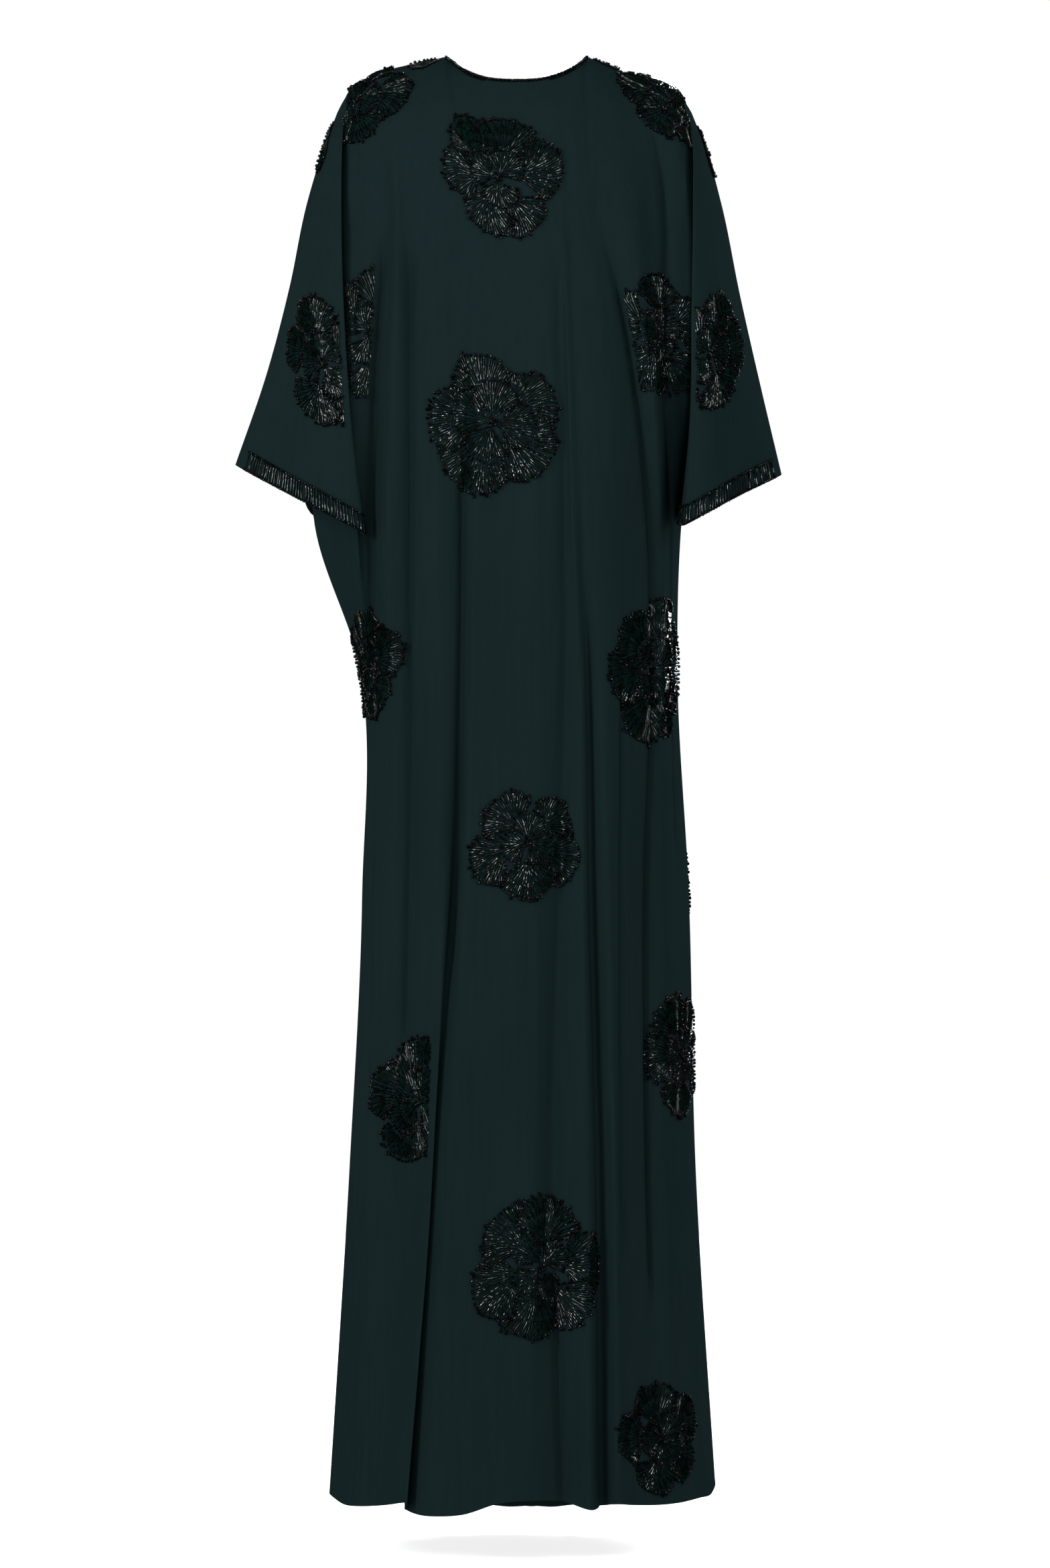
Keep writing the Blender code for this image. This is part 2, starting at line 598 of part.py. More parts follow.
def plain_material(name, colour, roughness):
    material = bpy.data.materials.new(name)
    material.use_nodes = True
    shader = material.node_tree.nodes["Principled BSDF"]
    shader.inputs["Base Color"].default_value = (*colour, 1)
    shader.inputs["Roughness"].default_value = roughness
    shader.inputs["Metallic"].default_value = 0
    return material


def make_kaftan():
    clear_scene()
    collection = bpy.data.collections.new("Kaftan")
    bpy.context.scene.collection.children.link(collection)
    cloth = plain_material("crepe", *CLOTH_LOOK)
    beads = plain_material("beads", *BEAD_LOOK)
    lining = plain_material("facing", *FACING_LOOK)

    front = Panel("front", FRONT_FOLDS, FRONT_SLEEVE, BACK_FOLDS, BACK_SLEEVE)
    back = Panel("back", BACK_FOLDS, BACK_SLEEVE, FRONT_FOLDS, FRONT_SLEEVE)
    join_panels(front, back)
    panels = {"front": front, "back": back}
    for panel in panels.values():
        wall(panel, cloth, collection)
    make_facings(panels.values(), lining, collection)
    make_cuff_bands(panels.values(), beads, collection)
    for flower in FLOWERS:
        panel = panels[flower.panel]
        patch(flower.name, panel, flower_outline(panel, flower), SEAM_GAP,
              SEAM_GAP + FLOWER_THICKNESS, beads, collection)


make_kaftan()
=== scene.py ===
"""The looks of the kaftan: cloth, beads, facing, floor, light and camera.

The cloth repeats the folds that the solids were made from, with finer steps and
with small creases added, so it lies where the solids are. Points are in
millimetres until they go into a mesh. +Z is up, and the front faces -Y.
"""

import math
from collections import namedtuple

import bpy
import numpy as np
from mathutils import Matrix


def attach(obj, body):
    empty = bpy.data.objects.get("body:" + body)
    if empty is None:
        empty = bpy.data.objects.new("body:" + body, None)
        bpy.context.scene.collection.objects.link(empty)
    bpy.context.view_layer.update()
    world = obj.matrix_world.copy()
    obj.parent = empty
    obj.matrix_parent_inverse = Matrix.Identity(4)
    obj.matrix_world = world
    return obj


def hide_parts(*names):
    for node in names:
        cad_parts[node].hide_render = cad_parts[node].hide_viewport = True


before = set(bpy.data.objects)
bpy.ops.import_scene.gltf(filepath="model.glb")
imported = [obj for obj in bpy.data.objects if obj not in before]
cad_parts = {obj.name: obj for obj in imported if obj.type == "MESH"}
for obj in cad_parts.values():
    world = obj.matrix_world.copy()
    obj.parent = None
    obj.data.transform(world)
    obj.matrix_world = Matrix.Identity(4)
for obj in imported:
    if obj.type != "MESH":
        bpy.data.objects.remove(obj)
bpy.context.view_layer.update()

MM = 0.001

# Cloth, in millimetres. The gap at a seam is too fine for light to show through.
CLOTH_THICKNESS = 1.2
SEAM_GAP = 0.02

# Depths below the shoulder line at which the tables give values. The first one,
# the top of each fold, differs from fold to fold.
CHEST, WAIST, UNDERARM, HIP, THIGH, KNEE, HEM = 150, 319, 481, 643, 882, 1163, 1504
LEVELS = (CHEST, WAIST, UNDERARM, HIP, THIGH, KNEE, HEM)
SHOULDER_LEVEL = 20

NECK_HALF_WIDTH = 76
NECK_DROP = {"front": 30, "back": 105}
NECK_POWER = {"front": 2.6, "back": 2.2}
SHOULDER_ROUNDING = 130

# Half widths and depths of the body's rounded section, at the shoulder and then
# at LEVELS
Section = namedtuple("Section", "left right front back")
SECTIONS = (
    Section(left=205, right=205, front=92, back=72),
    Section(left=215, right=215, front=118, back=105),
    Section(left=217, right=217, front=140, back=112),
    Section(left=213, right=174, front=142, back=115),
    Section(left=164, right=169, front=140, back=120),
    Section(left=162, right=181, front=142, back=125),
    Section(left=175, right=188, front=148, back=135),
    Section(left=196, right=209, front=158, back=150),
)
ROUNDNESS = 2.3

# The shoulder line: places across, and their depth below the neck points
SHOULDER_ACROSS = (-188, -180, -173, -162, -145, -109, -76, 0, 76, 92, 112, 149, 167, 174, 184)
SHOULDER_DOWN = (58, 41, 32, 24, 15, 7, 0, -4, 0, 7, 15, 24, 32, 41, 58)

# A fold is a crest or a trough that runs from the top edge to the hem: where it
# is across the garment at its top and at LEVELS, how far it stands out of the
# rounded section at LEVELS, and how far the hem is lifted there.
Fold = namedtuple("Fold", "name across out lift")
SIDE_LEFT = Fold("side_left", (-176, -191, -193, -213, -164, -162, -175, -196), (0, 0, 0, 0, 0, 0, 0), -3)
SIDE_RIGHT = Fold("side_right", (176, 193, 195, 174, 169, 181, 188, 209), (0, 0, 0, 0, 0, 0, 0), 7)
FRONT_FOLDS = (
    SIDE_LEFT,
    Fold("crest_1", (-169, -174, -172, -173, -158, -155, -168, -190), (7, 13, 3, 2, 2, 2, 4), -2),
    Fold("trough_1", (-157, -138, -145, -150, -150, -149, -158, -178), (-3, -7, -11, -5, -2, -3, -4), -7),
    Fold("crest_2", (-138, -124, -127, -133, -136, -143, -150, -162), (2, 3, 5, 6, 7, 6, 6), -5),
    Fold("trough_2", (-120, -111, -110, -110, -112, -115, -122, -138), (-2, -4, -4, -5, -5, -5, -6), -3),
    Fold("crest_3", (-98, -86, -84, -85, -84, -78, -87, -113), (1, 3, 3, 4, 4, 4, 8), 3),
    Fold("trough_3", (-76, -57, -56, -57, -58, -64, -91, -113), (0, -2, -5, -6, -7, -10, -14), -7),
    Fold("crest_4", (-57, -40, -40, -41, -44, -52, -70, -92), (0, 3, 4, 4, 5, 5, 5), -10),
    Fold("middle_1", (-29, -20, -20, -20, -22, -28, -40, -55), (0, 2, 2, 1, 1, 2, 3), -8),
    Fold("middle_2", (-2, 5, 5, 4, 3, -2, -8, -20), (0, 0, 0, 0, 0, 1, 0), 3),
    Fold("middle_3", (18, 22, 23, 24, 26, 22, 18, 12), (0, 1, 1, 1, 0, -1, -4), 6),
    Fold("trough_4", (30, 40, 46, 50, 51, 45, 38, 47), (0, -1, -2, -3, -6, -10, -14), 4),
    Fold("crest_5", (38, 47, 53, 58, 66, 69, 73, 76), (0, 1, 1, 1, 3, 4, 7), -3),
    Fold("trough_5", (47, 54, 60, 67, 74, 78, 85, 88), (-1, -2, -2, -5, -8, -9, -12), -1),
    Fold("crest_6", (56, 62, 69, 77, 88, 94, 101, 104), (1, 1, 2, 4, 5, 6, 7), 2),
    Fold("middle_4", (65, 73, 90, 104, 109, 109, 110, 121), (0, 1, 2, 2, 0, 0, 3), 0),
    Fold("trough_6", (76, 84, 117, 137, 142, 135, 137, 148), (-1, -5, -5, -6, -6, -5, -1), -2),
    Fold("crest_7", (96, 114, 138, 151, 153, 153, 158, 170), (2, 5, 5, 3, 4, 4, 4), -1),
    Fold("trough_7", (132, 153, 153, 161, 162, 168, 176, 190), (-6, -9, -7, -3, -3, -3, -4), 0),
    Fold("crest_8", (158, 177, 179, 166, 167, 178, 184, 202), (7, 8, -5, 1, 1, 1, 2), 1),
    SIDE_RIGHT,
)
BACK_FOLDS = (
    SIDE_LEFT,
    Fold("crest_1", (-169, -172, -170, -178, -158, -155, -168, -189), (6, 6, -16, 1, 1, 2, 4), -9),
    Fold("trough_1", (-157, -150, -151, -158, -150, -148, -157, -176), (-8, -9, -8, -5, -4, -4, -6), -13),
    Fold("crest_2", (-138, -132, -132, -136, -134, -136, -143, -158), (4, 5, 5, 6, 6, 6, 7), -20),
    Fold("trough_2", (-120, -114, -112, -112, -113, -116, -121, -134), (-4, -5, -6, -7, -8, -10, -14), -21),
    Fold("crest_3", (-98, -94, -92, -91, -92, -95, -100, -112), (3, 4, 4, 5, 6, 7, 9), -26),
    Fold("trough_3", (-76, -72, -68, -66, -67, -70, -76, -86), (-1, -3, -5, -6, -7, -8, -10), -27),
    Fold("crest_4", (-57, -50, -46, -44, -45, -48, -52, -60), (1, 3, 4, 4, 5, 6, 7), -33),
    Fold("middle_1", (-29, -26, -24, -24, -24, -25, -28, -34), (0, 0, 0, -1, -2, -4, -8), -32),
    Fold("middle_2", (-2, -2, -3, -4, -4, -4, -5, -8), (0, 1, 1, 2, 3, 4, 6), -36),
    Fold("middle_3", (18, 17, 17, 16, 16, 16, 16, 16), (0, 0, -1, -2, -4, -7, -12), -33),
    Fold("trough_4", (30, 30, 31, 32, 34, 36, 37, 38), (0, 1, 2, 2, 3, 4, 6), -36),
    Fold("crest_5", (38, 44, 46, 48, 50, 54, 56, 60), (1, 0, 0, 0, 0, 1, 1), -33),
    Fold("trough_5", (47, 56, 60, 63, 66, 70, 74, 80), (-1, -4, -6, -7, -8, -9, -12), -30),
    Fold("crest_6", (56, 68, 74, 78, 82, 88, 92, 99), (1, 2, 4, 5, 6, 6, 7), -31),
    Fold("middle_4", (65, 82, 92, 98, 102, 108, 112, 120), (0, 0, 0, 0, -1, -2, -4), -27),
    Fold("trough_6", (76, 100, 114, 118, 121, 126, 130, 140), (0, 2, 3, 4, 5, 5, 6), -24),
    Fold("crest_7", (96, 122, 134, 136, 137, 143, 148, 160), (1, 1, 0, -1, -2, -3, -6), -17),
    Fold("trough_7", (132, 148, 155, 153, 152, 160, 166, 180), (-7, -8, -6, -3, 1, 2, 4), -10),
    Fold("crest_8", (158, 174, 176, 167, 163, 174, 180, 197), (7, 6, 3, 1, 0, -1, -2), -3),
    SIDE_RIGHT,
)
FIRST_NECK_FOLD = "trough_3"
LAST_NECK_FOLD = "trough_6"

# Lines down each sleeve, at these shares of its length: places across, out
# towards the viewer (front) or away (back), and the depths of both ends
SLEEVE_SHARES = (0, 0.1, 0.25, 0.5, 0.75, 1)
Line = namedtuple("Line", "name across y start end")
OVERARM = {
    "left": Line("overarm", (-188, -202, -219, -238, -262, -293), (0, -1, -4, -14, -24, -34), 58, 430),
    "right": Line("overarm", (184, 199, 215, 234, 255, 277), (0, -1, -4, -14, -24, -34), 58, 440),
}
FRONT_SLEEVE = {
    "left": (
        Line("sleeve_middle", (-184, -195, -204, -215, -223, -232), (0, -44, -68, -86, -96, -94), 50, 465),
        Line("sleeve_edge", (-180, -181, -181, -178, -170, -156), (0, -60, -94, -113, -119, -113), 43, 505),
    ),
    "right": (
        Line("sleeve_middle", (181, 192, 201, 211, 220, 228), (0, -44, -68, -86, -96, -94), 53, 466),
        Line("sleeve_edge", (178, 183, 183, 181, 180, 173), (0, -60, -94, -113, -119, -113), 48, 496),
    ),
}
BACK_SLEEVE = {
    "left": (
        Line("sleeve_middle", (-184, -196, -207, -222, -238, -262), (0, 30, 48, 58, 58, 34), 50, 438),
        Line("sleeve_edge", (-180, -186, -192, -200, -208, -228), (0, 40, 62, 70, 64, 42), 43, 456),
    ),
    "right": (
        Line("sleeve_middle", (181, 194, 206, 219, 233, 246), (0, 30, 48, 58, 58, 34), 53, 446),
        Line("sleeve_edge", (178, 186, 193, 200, 205, 206), (0, 40, 62, 70, 64, 42), 48, 462),
    ),
}
TOWARD = {"front": -1, "back": 1}

# How finely the cloth follows the folds, how far its columns draw in towards each
# fold line, and how its rows crowd towards the shoulder
STEPS_PER_FOLD = 8
GATHERED = 0.10
ROWS_TO_UNDERARM = 56
ROWS_BELOW = 100
ROW_CROWDING = 1.25


def smooth(places, values, at):
    """A smooth curve through a table's values, read at the places asked for."""
    places = np.asarray(places, float)
    values = np.asarray(values, float)
    slopes = np.gradient(values, places)
    at = np.clip(np.asarray(at, float), places[0], places[-1])
    cell = np.clip(np.searchsorted(places, at, side="right") - 1, 0, len(places) - 2)
    width = places[cell + 1] - places[cell]
    share = (at - places[cell]) / width
    rise = values[cell + 1] - values[cell]
    start = slopes[cell] * width
    end = slopes[cell + 1] * width
    return (values[cell] + share * start
            + share ** 2 * (3 * rise - 2 * start - end)
            + share ** 3 * (start + end - 2 * rise))


def shoulder_depth(across):
    return np.interp(across, SHOULDER_ACROSS, SHOULDER_DOWN)


def top_depth(across, panel):
    """Depth of a panel's top edge: the shoulder line, or the neckline within it."""
    share = np.clip(np.abs(across) / NECK_HALF_WIDTH, 0, 1)
    neckline = NECK_DROP[panel] * (1 - share ** NECK_POWER[panel])
    return np.where(share >= 1, shoulder_depth(across), neckline)


def section_value(field, depth):
    """One measure of the rounded section, at depths below the shoulder line."""
    values = [getattr(section, field) for section in SECTIONS]
    return smooth((SHOULDER_LEVEL,) + LEVELS, values, depth)


def rounded_depth(across, depth, panel):
    """How far the rounded section reaches forward or back at a place."""
    half = np.where(across < 0, section_value("left", depth), section_value("right", depth))
    share = np.clip(np.abs(across) / half, 0, 1)
    roundness = (1 - share ** ROUNDNESS) ** (1 / ROUNDNESS)
    drop = np.clip((depth - shoulder_depth(across)) / SHOULDER_ROUNDING, 0, 1)
    shoulder = np.sqrt(1 - (1 - drop) ** 2)
    return section_value(panel, depth) * roundness * shoulder


def row_shares():
    """How far down the rows lie: from the top to the underarm, and on to the hem."""
    upper = (np.arange(ROWS_TO_UNDERARM + 1) / ROWS_TO_UNDERARM) ** ROW_CROWDING
    lower = np.arange(1, ROWS_BELOW + 1) / ROWS_BELOW
    return upper, lower


def body_line(fold, panel):
    """The points of one fold, from the top edge to the hem."""
    upper, lower = row_shares()
    top = float(top_depth(fold.across[0], panel))
    hem = HEM - fold.lift
    depth = np.concatenate([top + (UNDERARM - top) * upper, UNDERARM + (hem - UNDERARM) * lower])
    levels = (top,) + LEVELS
    across = smooth(levels, fold.across, depth)
    out = rounded_depth(across, depth, panel) + smooth(levels, (0,) + fold.out, depth)
    return np.stack([across, TOWARD[panel] * out, -depth], axis=1)


def sleeve_line(line):
    """The points of one line down a sleeve, from the shoulder to the cuff."""
    shares, _ = row_shares()
    across = smooth(SLEEVE_SHARES, line.across, shares)
    y = smooth(SLEEVE_SHARES, line.y, shares)
    depth = line.start + (line.end - line.start) * shares
    return np.stack([across, y, -depth], axis=1)


def spline(before, start, end, after, share):
    """A point between start and end, on the curve through all four."""
    return 0.5 * (2 * start + (end - before) * share
                  + (2 * before - 5 * start + 4 * end - after) * share ** 2
                  + (3 * start - before - 3 * end + after) * share ** 3)


def columns(lines, before, after):
    """Every column between the lines, with the lines themselves among them."""
    chain = [before] + list(lines) + [after]
    found = []
    for index in range(1, len(chain) - 2):
        for step in range(STEPS_PER_FOLD):
            share = step / STEPS_PER_FOLD
            share -= GATHERED * math.sin(2 * math.pi * share)
            found.append(spline(*chain[index - 1:index + 3], share))
    found.append(lines[-1])
    return np.stack(found, axis=1)


class Panel:
    """One panel's outer surface: a grid of points with sleeves in its upper rows."""

    def __init__(self, name, folds, sleeves, other_folds, other_sleeves):
        self.name = name
        body = [body_line(fold, name) for fold in folds]
        far = "back" if name == "front" else "front"
        far_body = [body_line(fold, far) for fold in (other_folds[1], other_folds[-2])]
        rows = ROWS_TO_UNDERARM + 1
        left = [sleeve_line(OVERARM["left"])] + [sleeve_line(line) for line in sleeves["left"]]
        right = [sleeve_line(line) for line in reversed(sleeves["right"])]
        right.append(sleeve_line(OVERARM["right"]))
        upper = columns(left + [line[:rows] for line in body] + right,
                        sleeve_line(other_sleeves["left"][0]),
                        sleeve_line(other_sleeves["right"][0]))
        lower = columns([line[rows - 1:] for line in body],
                        far_body[0][rows - 1:], far_body[1][rows - 1:])
        self.side = len(left) * STEPS_PER_FOLD
        self.rows = len(body[0])
        self.width = upper.shape[1]
        self.last = self.width - 1 - self.side
        self.points = np.full((self.rows, self.width, 3), np.nan)
        self.points[:rows] = upper
        self.points[rows:, self.side:self.last + 1] = lower[1:]
        names = ["overarm_left", "sleeve_middle_left", "sleeve_edge_left"]
        names += [fold.name for fold in folds]
        names += ["sleeve_edge_right", "sleeve_middle_right", "overarm_right"]
        self.column = {place: index * STEPS_PER_FOLD for index, place in enumerate(names)}
        self.neck = self.column[FIRST_NECK_FOLD], self.column[LAST_NECK_FOLD]
        self.settle_top()
        self.triangles = self.find_triangles()
        self.normals = None

    def settle_top(self):
        """Bring the body's top edge exactly onto the shoulder line and the neckline."""
        upper, _ = row_shares()
        body = slice(self.side, self.last + 1)
        rows = slice(0, ROWS_TO_UNDERARM + 1)
        top = top_depth(self.points[0, body, 0], self.name)
        depth = top[None, :] + (UNDERARM - top)[None, :] * upper[:, None]
        self.points[rows, body, 2] = -depth
        on_shoulder = np.abs(self.points[0, body, 0]) >= NECK_HALF_WIDTH
        stray = np.where(on_shoulder, self.points[0, body, 1], 0)
        fade = np.clip(1 - (depth - top) / SHOULDER_ROUNDING, 0, 1) ** 2
        self.points[rows, body, 1] -= stray[None, :] * fade

    def find_triangles(self):
        """Corners of both triangles of each cell, wound to face outwards."""
        row, column = np.mgrid[:self.rows - 1, :self.width - 1]
        there = (row < ROWS_TO_UNDERARM) | ((column >= self.side) & (column < self.last))
        row, column = row[there], column[there]
        a = row * self.width + column
        b, c, d = a + 1, a + self.width + 1, a + self.width
        in_left_half = (column < self.width // 2)[:, None]
        first = np.where(in_left_half, np.stack([a, d, c], 1), np.stack([a, d, b], 1))
        second = np.where(in_left_half, np.stack([a, c, b], 1), np.stack([b, d, c], 1))
        found = np.concatenate([first, second])
        return found if self.name == "front" else found[:, ::-1]

    def summed_normals(self):
        """The sum of the triangles' normals at each point, larger ones counting more."""
        flat = self.points.reshape(-1, 3)
        a, b, c = (flat[self.triangles[:, corner]] for corner in range(3))
        face = np.cross(b - a, c - a)
        total = np.zeros_like(flat)
        for corner in range(3):
            np.add.at(total, self.triangles[:, corner], face)
        return total.reshape(self.points.shape)

    def set_normals(self, sums):
        length = np.linalg.norm(sums, axis=2, keepdims=True)
        self.normals = sums / np.where(length > 0, length, 1)

    def seam_places(self):
        """Places on the seams, each with its neighbour inside the panel."""
        found = {}
        for column in range(self.width):
            if not self.neck[0] < column < self.neck[1]:
                found[(0, column)] = (1, min(max(column, 1), self.width - 2))
        for row in range(1, ROWS_TO_UNDERARM + 1):
            found[(row, 0)] = (row, 1)
            found[(row, self.width - 1)] = (row, self.width - 2)
        for row in range(ROWS_TO_UNDERARM, self.rows):
            found[(row, self.side)] = (row, self.side + 1)
            found[(row, self.last)] = (row, self.last - 1)
        return found


def join_panels(front, back):
    """Give both panels matching seam normals, and part them by the seam gap."""
    seam = front.seam_places()
    for place in seam:
        back.points[place] = front.points[place]
    sums = {panel: panel.summed_normals() for panel in (front, back)}
    for place in seam:
        both = sums[front][place] + sums[back][place]
        sums[front][place] = both
        sums[back][place] = both
    for panel in (front, back):
        panel.set_normals(sums[panel])
        shifted = panel.points.copy()
        for place, inside in seam.items():
            along = panel.points[inside] - panel.points[place]
            normal = panel.normals[place]
            along = along - normal * np.dot(along, normal)
            shifted[place] += along / np.linalg.norm(along) * SEAM_GAP / 2
        panel.points = shifted


# Small creases and ridges that the folds leave out: the places that one passes,
# across and down, its half width, and its height; a negative height is a trough.
Crease = namedtuple("Crease", "path width height")
FRONT_CREASES = (
    Crease(((-167, 70), (-165, 170), (-163, 250), (-162, 350)), 3, -3.8),
    Crease(((-160, 400), (-159, 450), (-159, 520), (-157, 590)), 3, -3.0),
    Crease(((135, 110), (137, 190), (138, 270), (140, 380)), 3, -2.6),
    Crease(((171, 95), (172, 200), (173, 330), (171, 450)), 4, -1.6),
)
BACK_CREASES = (
    Crease(((-160, 90), (-158, 200), (-160, 330), (-163, 470)), 5, -1.8),
    Crease(((-146, 80), (-142, 200), (-143, 340), (-146, 500)), 4.5, 1.5),
    Crease(((158, 90), (162, 210), (163, 340), (160, 460)), 5, -1.8),
    Crease(((142, 80), (146, 200), (147, 330), (149, 480)), 4.5, 1.4),
)
CREASE_END = 0.22
CREASE_STEPS = 8

# Troughs that read as thin lines: the fold, the depths between which it does, its
# half width along the cloth, and how much deeper the cloth is there
Crisp = namedtuple("Crisp", "fold start end width height")
FRONT_CRISP = (
    Crisp("trough_1", 165, 640, 2.8, -5.5),
    Crisp("trough_2", 180, 1080, 3.4, -5.6),
    Crisp("trough_3", 400, 1000, 3.0, -6.0),
    Crisp("trough_4", 190, 1270, 5.5, -3.4),
    Crisp("trough_4", 1220, 1560, 3.6, -6.0),
    Crisp("trough_5", 560, 1560, 2.8, -3.4),
    Crisp("trough_6", 190, 1330, 3.0, -7.4),
    Crisp("middle_4", 630, 1280, 3.0, -4.6),
    Crisp("trough_7", 60, 860, 2.8, -4.6),
)
BACK_CRISP = (
    Crisp("trough_1", 120, 560, 3.0, -4.6),
    Crisp("trough_2", 210, 1500, 3.4, -4.0),
    Crisp("trough_3", 380, 1560, 3.0, -4.6),
    Crisp("middle_1", 900, 1560, 3.4, -3.6),
    Crisp("middle_3", 620, 1560, 3.2, -4.6),
    Crisp("trough_5", 260, 1560, 3.2, -4.6),
    Crisp("crest_7", 700, 1400, 3.6, -3.2),
    Crisp("trough_7", 100, 560, 2.8, -4.2),
)
CRISP_FADE = 90

# How many columns or rows from a seam the relief comes in over
SEAM_CALM = 5

# Slight waves of cloth that hangs free: the height, then for each of two sines how
# far across and down it turns by a radian, and where it starts
Wave = namedtuple("Wave", "height first second")
WAVES = (
    Wave(0.35, (19, 210, 0), (math.inf, 97, 0.8)),
    Wave(0.25, (11, -150, 1.3), (-40, 61, 0)),
)

# The turned-up hem: heights above its edge, and how far the cloth stands out there
HEM_HEIGHTS = (0, 2.5, 3.5, 4.5, 6, 9)
HEM_RELIEF = (0.25, 0.3, -0.35, 0.1, 0, 0)


def eased(share):
    """A soft step: 0 up to a share of 0, and 1 from a share of 1."""
    share = np.clip(share, 0, 1)
    return share * share * (3 - 2 * share)


def path_points(path):
    """More points along a path, on a smooth curve through its own."""
    path = np.array(path, float)
    count = np.arange(len(path))
    at = np.linspace(0, len(path) - 1, (len(path) - 1) * CREASE_STEPS + 1)
    return np.stack([smooth(count, path[:, axis], at) for axis in range(2)], axis=1)


def crease_height(across, depth, crease):
    """How far one crease lifts the cloth at places seen flat on."""
    path = path_points(crease.path)
    place = np.stack([across, depth], axis=-1)
    nearest = np.full(across.shape, np.inf)
    along = np.zeros(across.shape)
    for index, (start, end) in enumerate(zip(path[:-1], path[1:])):
        step = end - start
        share = np.clip(((place - start) @ step) / (step @ step), 0, 1)
        gap = np.linalg.norm(place - start - share[..., None] * step, axis=-1)
        closer = gap < nearest
        along = np.where(closer, (index + share) / (len(path) - 1), along)
        nearest = np.where(closer, gap, nearest)
    fade = eased(np.minimum(along, 1 - along) / CREASE_END)
    return crease.height * fade * np.exp(-(nearest / crease.width) ** 2)


def distances(points, axis):
    """Distances along a grid's columns (axis 0) or rows (axis 1), from their start."""
    steps = np.nan_to_num(np.linalg.norm(np.diff(points, axis=axis), axis=2))
    start = np.zeros_like(steps.take([0], axis))
    return np.concatenate([start, np.cumsum(steps, axis=axis)], axis=axis)


def crisp_height(panel, crisp):
    """How far one crisp fold deepens the cloth along its own column."""
    along = distances(panel.points, 1)
    column = panel.column[crisp.fold]
    gap = np.abs(along - along[:, [column]])
    depth = -panel.points[:, [column], 2]
    within = depth - crisp.start
    if crisp.end <= HEM:
        within = np.minimum(within, crisp.end - depth)
    return crisp.height * eased(within / CRISP_FADE) * np.exp(-(gap / crisp.width) ** 2)


def unevenness(across, depth):
    """How far the slight waves lift the cloth at places seen flat on."""

    def sine(over, down, start):
        return np.sin(across / over + depth / down + start)

    return sum(wave.height * sine(*wave.first) * sine(*wave.second) for wave in WAVES)


def add_relief(panel, creases, crisp_folds):
    """Lift the cloth along its own normals by its waves, creases, folds and hem."""
    panel.set_normals(panel.summed_normals())
    across = panel.points[..., 0]
    depth = -panel.points[..., 2]
    height = unevenness(across, depth)
    for crease in creases:
        height = height + crease_height(across, depth, crease)
    for crisp in crisp_folds:
        height = height + crisp_height(panel, crisp)
    column = np.arange(panel.width)[None, :]
    row = np.arange(panel.rows)[:, None]
    lower = row >= ROWS_TO_UNDERARM
    margin = np.where(lower, panel.side, 0)
    calm = np.minimum(np.minimum(column - margin, panel.width - 1 - margin - column), row + 1)
    height = height * np.clip(calm / SEAM_CALM, 0, 1)
    above_hem = depth[-1][None, :] - depth
    height = height + np.interp(above_hem, HEM_HEIGHTS, HEM_RELIEF) * np.clip(calm, 0, 1)
    panel.points = panel.points + panel.normals * np.nan_to_num(height)[..., None]


# Edges that turn by more than this many degrees stay sharp
CLOTH_SHARP, FACING_SHARP, BEAD_SHARP = 60, 50, 80


def mesh_piece(name, points, triangles, material, sharp_degrees):
    """A new object from points in millimetres and triangles."""
    mesh = bpy.data.meshes.new(name)
    mesh.vertices.add(len(points))
    mesh.vertices.foreach_set("co", (points * MM).astype(np.float32).ravel())
    mesh.loops.add(3 * len(triangles))
    mesh.loops.foreach_set("vertex_index", triangles.astype(np.int32).ravel())
    mesh.polygons.add(len(triangles))
    mesh.polygons.foreach_set("loop_start", np.arange(0, 3 * len(triangles), 3, dtype=np.int32))
    mesh.update(calc_edges=True)
    mesh.shade_smooth()
    mesh.set_sharp_from_angle(angle=math.radians(sharp_degrees))
    mesh.materials.append(material)
    piece = bpy.data.objects.new(name, mesh)
    bpy.context.scene.collection.objects.link(piece)
    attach(piece, "root")
    return piece


def two_sided(points, normals, triangles, high, low):
    """Points and triangles of a closed shell from high to low along the normals."""
    used, faces = np.unique(triangles, return_inverse=True)
    faces = faces.reshape(-1, 3)
    count = len(used)
    outer = points[used] + normals[used] * high
    inner = points[used] + normals[used] * low
    edges = np.concatenate([faces[:, [0, 1]], faces[:, [1, 2]], faces[:, [2, 0]]])
    keys = set(map(tuple, edges.tolist()))
    rim = np.array([edge for edge in keys if edge[::-1] not in keys])
    start, end = rim[:, 0], rim[:, 1]
    sides = np.concatenate([np.stack([end, start, start + count], 1),
                            np.stack([end, start + count, end + count], 1)])
    shell = np.concatenate([faces, faces[:, ::-1] + count, sides])
    return np.concatenate([outer, inner]), shell


